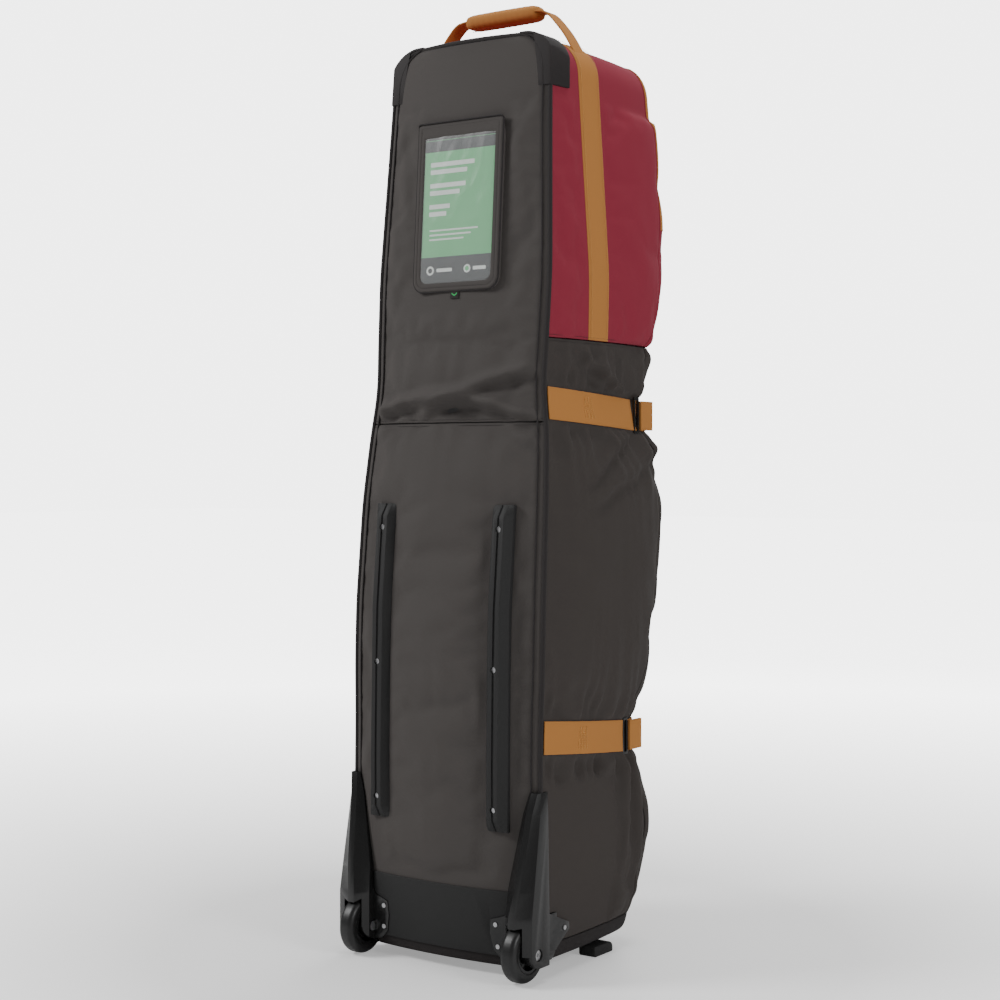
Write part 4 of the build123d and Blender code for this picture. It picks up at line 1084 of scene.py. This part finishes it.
def carrying_handle():
    """Webbing arch, its wrapped grip and the low grab handle."""
    y = 0.5 * (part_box("handle_webbing")[0].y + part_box("handle_webbing")[1].y)
    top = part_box("handle_grip")[1].z - 0.012
    half = [(0.1262, 1.2715), (0.1195, 1.2835), (0.1135, 1.2935), (0.1060, 1.3045), (0.0965, 1.3160),
            (0.0860, 1.3280), (0.0765, 1.3362), (0.0660, top - 0.0006), (0.0450, top), (0.0, top)]
    way = [(-px, y, pz) for px, pz in half] + [(px, y, pz) for px, pz in half[-2::-1]]
    path = smooth_path(way, 110)
    arch = flat_band("handle_arch", path, (0, -1, 0), 0.028, 0.0024)
    arch.data.materials.clear()
    arch.data.materials.append(material("ochre_webbing"))
    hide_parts("handle_webbing")
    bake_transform(arch)

    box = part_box("handle_grip")
    length, wide, tall = (box[1] - box[0])
    rings = []
    for t in np.linspace(-1, 1, 61):
        swell = (1 - abs(t) ** 14) ** 0.5 * (1 - 0.05 * t * t)
        ripple = 1 + 0.010 * math.sin(t * 41 + 1) + 0.006 * math.sin(t * 97)
        ring = []
        for k in range(28):
            angle = 2 * math.pi * k / 28
            c, s = math.cos(angle), math.sin(angle)
            round_y = math.copysign(abs(c) ** 0.8, c) * wide / 2
            round_z = math.copysign(abs(s) ** 0.8, s) * tall / 2
            tuck = 0.9 if k in (20, 21, 22) else 1.0
            ring.append((t * length / 2, round_y * max(swell, 0.35) * ripple * 0.985,
                         round_z * max(swell, 0.35) * ripple * 0.985 * tuck))
        rings.append(ring)
    rings = np.array(rings) + np.array([0, (box[0].y + box[1].y) / 2, (box[0].z + box[1].z) / 2])
    count = len(rings)
    faces = grid_faces(count, 28, wrap=True)
    faces += [tuple(range(28))[::-1], tuple(range((count - 1) * 28, count * 28))]
    angle_uv = np.repeat(np.linspace(0, 0.1, 28)[None], count, 0)
    run_uv = np.repeat(np.linspace(0, length, count)[:, None], 28, 1)
    grip = mesh_piece("wrapped_grip", rings.reshape(-1, 3), faces,
                      np.stack([run_uv, angle_uv], -1).reshape(-1, 2))
    finish_mesh(grip, [rounded(1)], smooth_angle=60)
    fit(grip, "handle", material("ochre_webbing"), "ochre_webbing", "handle_grip", fill=0.9)
    under = np.array([(t, y, box[0].z + 0.0004) for t in np.linspace(-0.058, 0.058, 40)])
    stitches("grip_stitches", under, "ochre_webbing", "handle", gap=0.004, radius=0.0006)

    low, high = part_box("grab_handle")
    middle_z = (low.z + high.z) / 2
    proud = high.y - 0.0032
    flat = front_point(np.array([0.130, 0.118, 0.103]), np.full(3, middle_z), 0.0005)
    right = [(p[0], p[1], p[2]) for p in flat]
    right += [(0.094, proud - 0.0085, middle_z), (0.084, proud - 0.002, middle_z),
              (0.07, proud, middle_z), (0.0, proud, middle_z)]
    way = right + [(-a, b, c) for a, b, c in right[-2::-1]]
    path = smooth_path(way, 90)
    grab = flat_band("low_grab_handle", path, (0, 0, -1), high.z - low.z - 0.0006, 0.0024)
    fit(grab, "shell", material("ochre_webbing"), "ochre_webbing", "grab_handle")


def pocket_point(x, down, proud=0.0):
    """Point on the label pocket: x across, down the slope from the pocket's middle, proud outwards."""
    low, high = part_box("label_card")
    slope = (high.y - low.y - 0.0008) / (high.z - low.z)
    tilt = math.atan(slope)
    origin = np.array([0.0, low.y + 0.0004 + slope * (POCKET_Z - low.z), POCKET_Z])
    along = np.array([0, -math.sin(tilt), -math.cos(tilt)])
    out = np.array([0, -math.cos(tilt), math.sin(tilt)])
    x, down, proud = (value[..., None] for value in np.broadcast_arrays(
        np.asarray(x, float), np.asarray(down, float), np.asarray(proud, float)))
    return origin + x * np.array([1.0, 0, 0]) + down * along + proud * out


def rounded_outline(wide, tall, radius, per_corner=10, head_radius=None):
    """Closed outline of a rounded rectangle, as (x, down) pairs; the head may have its own radius."""
    corners = []
    for cx, cy, first in ((1, 1, 0), (-1, 1, 90), (-1, -1, 180), (1, -1, 270)):
        r = radius if cy > 0 or head_radius is None else head_radius
        angles = np.radians(first + np.linspace(0, 90, per_corner))
        corners.append(np.stack([cx * (wide / 2 - r) + r * np.cos(angles),
                                 cy * (tall / 2 - r) + r * np.sin(angles)], axis=-1))
    points = []
    for index, corner in enumerate(corners):
        goal = corners[(index + 1) % 4][0]
        points.append(corner)
        points.append(corner[-1] + (goal - corner[-1]) * np.linspace(0, 1, 13)[1:-1, None])
    return np.concatenate(points)


def slab(name, outline, low, high, bevel=0.0):
    """A flat printed or sewn patch on the pocket slope, from its outline in (x, down)."""
    count = len(outline)
    bottom = pocket_point(outline[:, 0], outline[:, 1], low)
    top = pocket_point(outline[:, 0], outline[:, 1], high)
    points = np.concatenate([bottom, top])
    faces = [tuple(range(count)), tuple(range(2 * count - 1, count - 1, -1))]
    faces += [(k, count + k, count + (k + 1) % count, (k + 1) % count) for k in range(count)]
    piece = mesh_piece(name, points, faces)
    faces_out(piece)
    return finish_mesh(piece, [edges(bevel, 2)] if bevel else [], smooth_angle=40)


def label_pocket():
    """Sewn pocket frame, clear window, printed card and small tag."""
    # profile of the frame: how far in from the outer edge, and how proud of the card's plane
    profile = [(-0.0002, -0.0062), (0.0, 0.0006), (0.0012, 0.0022), (0.0034, 0.0027), (0.0060, 0.0020),
               (0.0085, 0.0026), (0.0112, 0.0024), (0.0124, 0.0014), (0.0126, -0.0002), (0.0118, -0.0040)]
    rings = []
    for inset, proud in profile:
        head = inset + 0.0095 * min(1.0, inset / 0.012)  # the frame is deeper at its head
        ring = rounded_outline(POCKET_WIDE - 2 * inset, POCKET_TALL - inset - head,
                               max(POCKET_R - inset * 0.55, 0.006),
                               head_radius=max(POCKET_HEAD_R - inset * 0.2, 0.0012))
        down = ring[:, 1] + (head - inset) / 2
        # the head of the frame stays open behind, where the card slides out
        rings.append(pocket_point(ring[:, 0], down, np.where(down < -0.1040, max(proud, 0.0010), proud)))
    rings = np.array(rings)
    faces = grid_faces(len(rings), rings.shape[1], wrap=True)
    frame_piece = mesh_piece("pocket_frame", rings.reshape(-1, 3), faces)
    faces_out(frame_piece)
    finish_mesh(frame_piece, [rounded(1)], smooth_angle=60)
    fit(frame_piece, "shell", material("back_cloth"), "back_cloth", "label_frame")
    seam = rounded_outline(POCKET_WIDE - 0.012, POCKET_TALL - 0.012, 0.0135, head_radius=0.003)
    sewn = pocket_point(*np.concatenate([seam, seam[:1]]).T, 0.0023)
    stitches("pocket_stitches", sewn, "trim_cloth", "shell", gap=0.0034, radius=0.0004)
    rim = rounded_outline(POCKET_WIDE, POCKET_TALL, POCKET_R, head_radius=POCKET_HEAD_R)
    over = np.clip((-0.1165 - rim[:, 1]) / 0.003, 0, 1) * 0.0026
    edge = tube("pocket_binding", pocket_point(rim[:, 0], rim[:, 1], over), 0.0013, 8, closed=True)
    finish_mesh(edge, smooth_angle=80)
    fit(edge, "shell", material("trim_cloth"), "trim_cloth")

    # the window: pulled flat at its sewn edge and creased between
    across, down = np.linspace(-0.0615, 0.0615, 45), np.linspace(-0.1085, 0.1085, 75)
    gx, gd = np.meshgrid(across, down, indexing="xy")
    free = np.clip((1 - np.abs(gx / 0.0615) ** 6) * (1 - np.abs(gd / 0.1085) ** 8), 0, 1)
    wave = np.zeros(gx.shape)
    for row in range(gx.shape[0]):
        for column in range(gx.shape[1]):
            p = Vector((gx[row, column] * 26 + 3, gd[row, column] * 15, 0.7))
            wave[row, column] = noise.noise(p) + 0.4 * abs(noise.noise(p * 2.3))
    crease = np.abs(np.sin((gx * 0.8 + gd * 0.5) * 95 + 3 * wave)) ** 0.5
    lift = 0.0010 + free * (0.0009 + 0.0012 * (wave + 0.5) + 0.0007 * (1 - crease))
    window = mesh_piece("clear_window", pocket_point(gx, gd, np.clip(lift, 0.0008, 0.0042)).reshape(-1, 3),
                        grid_faces(*gx.shape))
    finish_mesh(window, [rounded(1)], smooth_angle=80)
    fit(window, "shell", material("clear_vinyl"), "clear_vinyl", "label_window")

    low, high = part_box("label_card")
    upright = math.cos(math.atan((high.y - low.y) / (high.z - low.z)))
    tall = (high.z - low.z) / upright
    foot = (POCKET_Z - low.z) / upright
    head = foot - tall

    def patch(name, x0, x1, d0, d1, finish, layer=1):
        """A printed bar on the card from x0 to x1 and from d0 to d1 down the slope."""
        outline = rounded_outline(x1 - x0, d1 - d0, min(0.0012, (x1 - x0) / 3, (d1 - d0) / 3), 4)
        outline = outline + np.array([(x0 + x1) / 2, (d0 + d1) / 2])
        piece = slab(name, outline, 0.0003 + 0.0001 * (layer - 1), 0.0004 + 0.0001 * layer)
        return fit(piece, "card", material(finish), "card")

    outline = rounded_outline(0.1218, tall - 0.0006, 0.002, 4) + np.array([0, head + tall / 2])
    card = slab("printed_card", outline, -0.0004, 0.0004)
    fit(card, "card", material("card"), "card", "label_card")
    patch("card_header", -0.0605, 0.0605, head + 0.001, head + 0.017, "card_ink")
    patch("card_footer", -0.0605, 0.0605, foot - 0.040, foot - 0.001, "card_ink")
    for index, (top_edge, width) in enumerate(((0.032, 0.076), (0.062, 0.062), (0.092, 0.036))):
        for row_index in range(2):
            bar = head + top_edge + 0.0105 * row_index
            patch(f"card_headline_{index}_{row_index}", -0.050, -0.050 + width * (1.0 - 0.16 * row_index),
                  bar, bar + 0.0065, "card_white")
    for index in range(3):
        patch(f"card_line_{index}", -0.048, 0.036 - 0.012 * index, head + 0.128 + 0.0065 * index,
              head + 0.1305 + 0.0065 * index, "card_white")
    ring = rounded_outline(0.013, 0.013, 0.0064, 6)
    for index, (x, size, finish) in enumerate(((-0.044, 1.0, "card_white"), (-0.044, 0.55, "card_ink"),
                                               (0.020, 0.9, "card_white"), (0.020, 0.5, "card"))):
        outline = ring * size + np.array([x, foot - 0.021])
        piece = slab(f"card_emblem_{index}", outline, 0.0004, 0.0006 + 0.0001 * (index % 2))
        fit(piece, "card", material(finish), "card")
    for index, (first, last) in enumerate(((-0.033, -0.006), (0.030, 0.052))):
        patch(f"card_imprint_{index}", first, last, foot - 0.0235, foot - 0.0185, "card_white", 2)
    outline = rounded_outline(0.0142, 0.0118, 0.001, 4) + np.array([0, TAG_DOWN + 0.0008])
    tag = slab("pocket_tag", outline, -0.0030, 0.0006, 0.0003)
    fit(tag, "shell", material("trim_cloth"), "trim_cloth", "label_tag")
    chevron = np.array([(-0.0045, 0.0), (0.0, 0.003), (0.0045, 0.0), (0.0045, -0.002), (0.0, 0.001),
                        (-0.0045, -0.002)])
    mark = slab("tag_mark", chevron + np.array([0, TAG_DOWN + 0.0005]), 0.0006, 0.0010)
    fit(mark, "shell", material("tag_thread"), "trim_cloth")


def opening_line(grow, step=0.004):
    """Outline of the opening grown by grow, from the foot of one side over the top to the other."""
    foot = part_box("zip_tape_inner")[0].z
    upright = np.arange(foot + 0.001, DOOR_TOP - DOOR_R, step)
    radius = DOOR_R + grow
    arc = np.linspace(0, math.pi / 2, 16)
    right = [(DOOR_X + grow, z) for z in upright]
    right += [(DOOR_X - DOOR_R + radius * math.cos(a), DOOR_TOP - DOOR_R + radius * math.sin(a)) for a in arc]
    top = [(x, DOOR_TOP + grow) for x in np.arange(DOOR_X - DOOR_R - 0.006, 0, -0.006)]
    half = right + top + [(0.0, DOOR_TOP + grow)]
    line = half + [(-x, z) for x, z in half[-2::-1]]
    return np.array(line)


def zips():
    """Zip tapes and their coils round the front opening."""
    for label, way, body, node in (
        ("outer", 1, "shell", "zip_tape_outer"), ("inner", -1, "front_door", "zip_tape_inner"),
    ):
        near, far = way * 0.0010, way * 0.0108
        lines = [opening_line(value) for value in np.linspace(near, far, 5)]
        grid = np.stack([front_point(line[:, 0], line[:, 1], 0.0006) for line in lines], axis=1)
        if label == "outer":
            grid = grid[:, ::-1]
        grid = grid[::-1]
        tape = band("tape_" + label, grid[:, 2], grid, 0.0012)
        faces_out(tape)
        fit(tape, body, material("trim_cloth"), "trim_cloth", node)
        line = opening_line(way * 0.0012, 0.0013)
        coil = tube("coil_" + label, front_point(line[:, 0], line[:, 1], 0.0021), 0.0010, 6)
        finish_mesh(coil, smooth_angle=80)
        fit(coil, body, material("zip_metal"), "zip_metal")
        sewn = opening_line(far - way * 0.0022)
        stitches("tape_stitch_" + label, front_point(sewn[:, 0], sewn[:, 1], 0.0020), "side_cloth", body,
                 gap=0.0036, radius=0.0004)


# ---------------------------------------------------------------- hard parts
def hard_parts():
    """Wheels, housings, rails, guards, plates and rings with softened edges."""
    for hand, _ in HANDS:
        wheel = "wheel_" + hand
        fit(moulded("tyre_" + hand, "tread_tyre_" + hand, 0.0015, 3), wheel, material("tyre_rubber"),
            "tyre_rubber", "tyre_" + hand)
        for node, name, slot, width in (
            ("wheel_housing_", "moulded_housing_", "black_plastic", 0.0016),
            ("skid_rail_", "rounded_rail_", "rail_plastic", 0.0012),
            ("front_foot_", "moulded_foot_", "rail_plastic", 0.0015),
        ):
            fit(moulded(node + hand, name + hand, width, 3), "shell", material(slot), slot, node + hand)
        fit(moulded("hub_" + hand, "moulded_hub_" + hand, 0.0005), wheel, material("black_plastic"),
            "black_plastic", "hub_" + hand)
    for node, name, slot, width in (
        ("corner_guards", "shoulder_guards", "guard_rubber", 0.0009),
        ("kick_plate", "sewn_kick_plate", "rail_plastic", 0.0009),
        ("strap_rings", "rounded_rings", "black_plastic", 0.0007),
        ("inner_strap", "sewn_inner_strap", "trim_cloth", 0.0005),
    ):
        fit(moulded(node, name, width, 3), "shell", material(slot), slot, node)
    pad = moulded("top_foam_pad", "top_padding", 0.004, 3)
    fit(pad, "shell", material("side_cloth"), "side_cloth", "top_foam_pad", fill=0.9)


KEPT_NODES = {
    "steel": ("bearings_left", "bearings_right", "axle_bolt_left", "axle_bolt_right", "axle_nuts",
              "housing_screws", "rail_rivets"),
    "zip_metal": ("zip_slider_upper", "zip_slider_lower", "zip_pull_upper", "zip_pull_lower"),
    "black_plastic": ("inner_buckle",),
    "board": ("back_board",),
}


# ---------------------------------------------------------------- add-on
def linear(red, green, blue):
    """Screen colour from 0 to 255 as linear values."""
    return tuple(
        (c / 255 / 12.92 if c <= 10 else ((c / 255 + 0.055) / 1.055) ** 2.4) for c in (red, green, blue)
    )


def colour_field(name, description, *screen):
    """Colour property with its default as a screen colour."""
    return bpy.props.FloatVectorProperty(
        name=name, description=description, default=linear(*screen), subtype="COLOR", size=3, min=0, max=1
    )


class CoverSizes(bpy.types.PropertyGroup):
    """Sizes of the sewing."""

    swell: bpy.props.FloatProperty(
        name="Filling", description="Pressure that fills out the cloth", default=1.6
    )
    slack: bpy.props.FloatProperty(
        name="Slack", description="How much larger the cloth is cut than the case", default=0.022,
        subtype="FACTOR",
    )


class CoverColours(bpy.types.PropertyGroup):
    """Base colours of the materials."""

    back: colour_field("Back", "Padded back cloth", 62, 57, 54)
    side: colour_field("Side", "Side cloth", 52, 47, 45)
    red: colour_field("Red", "Cloth of the upper half", 132, 12, 40)
    ochre: colour_field("Ochre", "Straps and handles", 184, 108, 30)
    plastic: colour_field("Plastic", "Moulded parts", 17, 18, 19)
    card: colour_field("Card", "Printed card", 0, 160, 44)


class CASE_OT_finishes(bpy.types.Operator):
    """Make the materials and give them to the parts that stay as they are"""

    bl_idname = "travel_case.finishes"
    bl_label = "Finishes"

    def execute(self, context):
        colours = context.scene.case_colours
        woven_cloth("back_cloth", colours.back)
        woven_cloth("side_cloth", colours.side, thread=0.0009)
        woven_cloth("red_cloth", colours.red, thread=0.0009)
        woven_cloth("boot_cloth", linear(26, 25, 25), thread=0.0013, roughness=0.7)
        woven_cloth("trim_cloth", linear(30, 28, 28), thread=0.0008, roughness=0.7)
        ribbed_webbing("ochre_webbing", colours.ochre)
        moulded_plastic("black_plastic", colours.plastic, 0.32)
        moulded_plastic("rail_plastic", linear(19, 19, 21), 0.42, grain=0.4)
        moulded_plastic("tyre_rubber", linear(18, 18, 18), 0.5, grain=0.6, scale=420.0)
        moulded_plastic("guard_rubber", linear(24, 23, 24), 0.6, grain=0.6, scale=1200.0)
        moulded_plastic("zip_metal", linear(26, 26, 28), 0.35, grain=0.1)
        moulded_plastic("board", linear(60, 60, 62), 0.6)
        plated_steel("steel", (0.03, 0.03, 0.032), 0.55)
        # the near-white base of the vinyl is painted highlight: it shows only where the alpha rises
        clear_sheet("clear_vinyl", (0.9, 0.92, 0.92))
        woven_cloth("ochre_thread", linear(214, 158, 84), sheen=0.3)
        printed_card("card", colours.card)
        printed_card("card_ink", linear(10, 20, 22))
        printed_card("card_white", linear(238, 242, 238))
        printed_card("tag_thread", linear(70, 190, 110), 0.7)
        for slot, nodes in KEPT_NODES.items():
            for node in nodes:
                NODES[node].data.materials.clear()
                NODES[node].data.materials.append(material(slot))
        return {"FINISHED"}


class CASE_OT_cloth(bpy.types.Operator):
    """Fill out the cloth shell and cut it into the padded panels"""

    bl_idname = "travel_case.cloth"
    bl_label = "Cloth panels"

    def execute(self, context):
        sizes = context.scene.case_sizes
        SHELL["cloth"] = sewn_shell(sizes.swell, sizes.slack)
        back_and_side_panels(SHELL["cloth"])
        flat_ends(SHELL["cloth"])
        front_panels(SHELL["cloth"])
        return {"FINISHED"}


class CASE_OT_webbing(bpy.types.Operator):
    """Make the straps, the upright webbing, the piping and the trim"""

    bl_idname = "travel_case.webbing"
    bl_label = "Webbing and trim"

    def execute(self, context):
        straps()
        side_webbing()
        piping()
        zips()
        return {"FINISHED"}


class CASE_OT_handles(bpy.types.Operator):
    """Make the carrying handle and the grab handle"""

    bl_idname = "travel_case.handles"
    bl_label = "Handles"

    def execute(self, context):
        carrying_handle()
        return {"FINISHED"}


class CASE_OT_label(bpy.types.Operator):
    """Make the label pocket and its card"""

    bl_idname = "travel_case.label"
    bl_label = "Label pocket"

    def execute(self, context):
        label_pocket()
        return {"FINISHED"}


class CASE_OT_hard_parts(bpy.types.Operator):
    """Soften the edges of the moulded and rubber parts"""

    bl_idname = "travel_case.hard_parts"
    bl_label = "Moulded parts"

    def execute(self, context):
        hard_parts()
        return {"FINISHED"}


class CASE_OT_stage(bpy.types.Operator):
    """Set the floor, the lights and the camera"""

    bl_idname = "travel_case.stage"
    bl_label = "Stage"

    def execute(self, context):
        scene = context.scene
        bpy.ops.object.select_all(action="DESELECT")
        bpy.ops.mesh.primitive_plane_add(size=40.0, location=(0, 0, 0))
        floor = context.active_object
        floor.name = "floor"
        finish, shader = blank_finish("floor", (0.9, 0.9, 0.9), 0.6)
        shader.inputs["Emission Color"].default_value = (1.0, 1.0, 1.0, 1.0)
        place = add_node(finish, "ShaderNodeTexCoord").outputs["Object"]
        far = add_node(finish, "ShaderNodeVectorMath", {"operation": "LENGTH"}, i0=place).outputs["Value"]
        glow = add_node(
            finish, "ShaderNodeMapRange", Value=far, i1=0.5, i2=3.2, i3=0.35, i4=WORLD_SEEN
        ).outputs[0]
        seen = add_node(finish, "ShaderNodeLightPath").outputs["Is Camera Ray"]
        shown = add_node(finish, "ShaderNodeMath", {"operation": "MULTIPLY"}, i0=glow, i1=seen).outputs[0]
        finish.node_tree.links.new(shown, shader.inputs["Emission Strength"])
        tint = add_node(finish, "ShaderNodeTexNoise", Vector=place, Scale=0.4).outputs["Fac"]
        varied(finish, shader, (0.88, 0.88, 0.88), tint, 1.0, 1.01)
        floor.data.materials.append(finish)
        for name, location, goal, size, power in LIGHTS:
            data = bpy.data.lights.new(name, "AREA")
            data.shape = "SQUARE"
            data.size = size
            data.energy = power
            light = bpy.data.objects.new(name, data)
            scene.collection.objects.link(light)
            light.location = location
            light.rotation_euler = (Vector(goal) - Vector(location)).to_track_quat("-Z", "Y").to_euler()
        world = bpy.data.worlds.new("studio")
        world.use_nodes = True
        nodes, links = world.node_tree.nodes, world.node_tree.links
        sky = nodes["Background"]
        sky.inputs[0].default_value = (1.0, 1.0, 1.0, 1.0)
        seen = nodes.new("ShaderNodeLightPath").outputs["Is Camera Ray"]
        level = nodes.new("ShaderNodeMapRange")
        level.inputs[3].default_value, level.inputs[4].default_value = WORLD_LIGHT, WORLD_SEEN
        links.new(seen, level.inputs[0])
        links.new(level.outputs[0], sky.inputs[1])
        scene.world = world
        data = bpy.data.cameras.new("camera")
        camera = bpy.data.objects.new("camera", data)
        scene.collection.objects.link(camera)
        camera.location = CAMERA_PLACE
        heading = Vector((-math.sin(CAMERA_TURN), math.cos(CAMERA_TURN), 0.0))
        camera.rotation_euler = heading.to_track_quat("-Z", "Y").to_euler()
        data.sensor_width = 36.0
        data.lens = CAMERA_LENS
        data.shift_y = CAMERA_SHIFT
        data.clip_end = 100.0
        scene.camera = camera
        return {"FINISHED"}


OPERATORS = (
    CASE_OT_finishes, CASE_OT_cloth, CASE_OT_webbing, CASE_OT_handles, CASE_OT_label, CASE_OT_hard_parts,
    CASE_OT_stage,
)


class CASE_PT_panel(bpy.types.Panel):
    """Buttons and values of the case"""

    bl_label = "Golf travel case"
    bl_idname = "CASE_PT_panel"
    bl_space_type = "VIEW_3D"
    bl_region_type = "UI"
    bl_category = "Travel cover"

    def draw(self, context):
        for group in (context.scene.case_sizes, context.scene.case_colours):
            for field in group.__annotations__:
                self.layout.prop(group, field)
        for operator in OPERATORS:
            self.layout.operator(operator.bl_idname)


CLASSES = (CoverSizes, CoverColours, *OPERATORS, CASE_PT_panel)


def register():
    """Registers the classes and the two groups of values."""
    for cls in CLASSES:
        bpy.utils.register_class(cls)
    bpy.types.Scene.case_sizes = bpy.props.PointerProperty(type=CoverSizes)
    bpy.types.Scene.case_colours = bpy.props.PointerProperty(type=CoverColours)


def unregister():
    """Takes them away again."""
    del bpy.types.Scene.case_colours
    del bpy.types.Scene.case_sizes
    for cls in reversed(CLASSES):
        bpy.utils.unregister_class(cls)


def main():
    """Makes everything in order."""
    register()
    for operator in OPERATORS:
        group, name = operator.bl_idname.split(".")
        getattr(getattr(bpy.ops, group), name)()


if __name__ == "__main__":
    main()
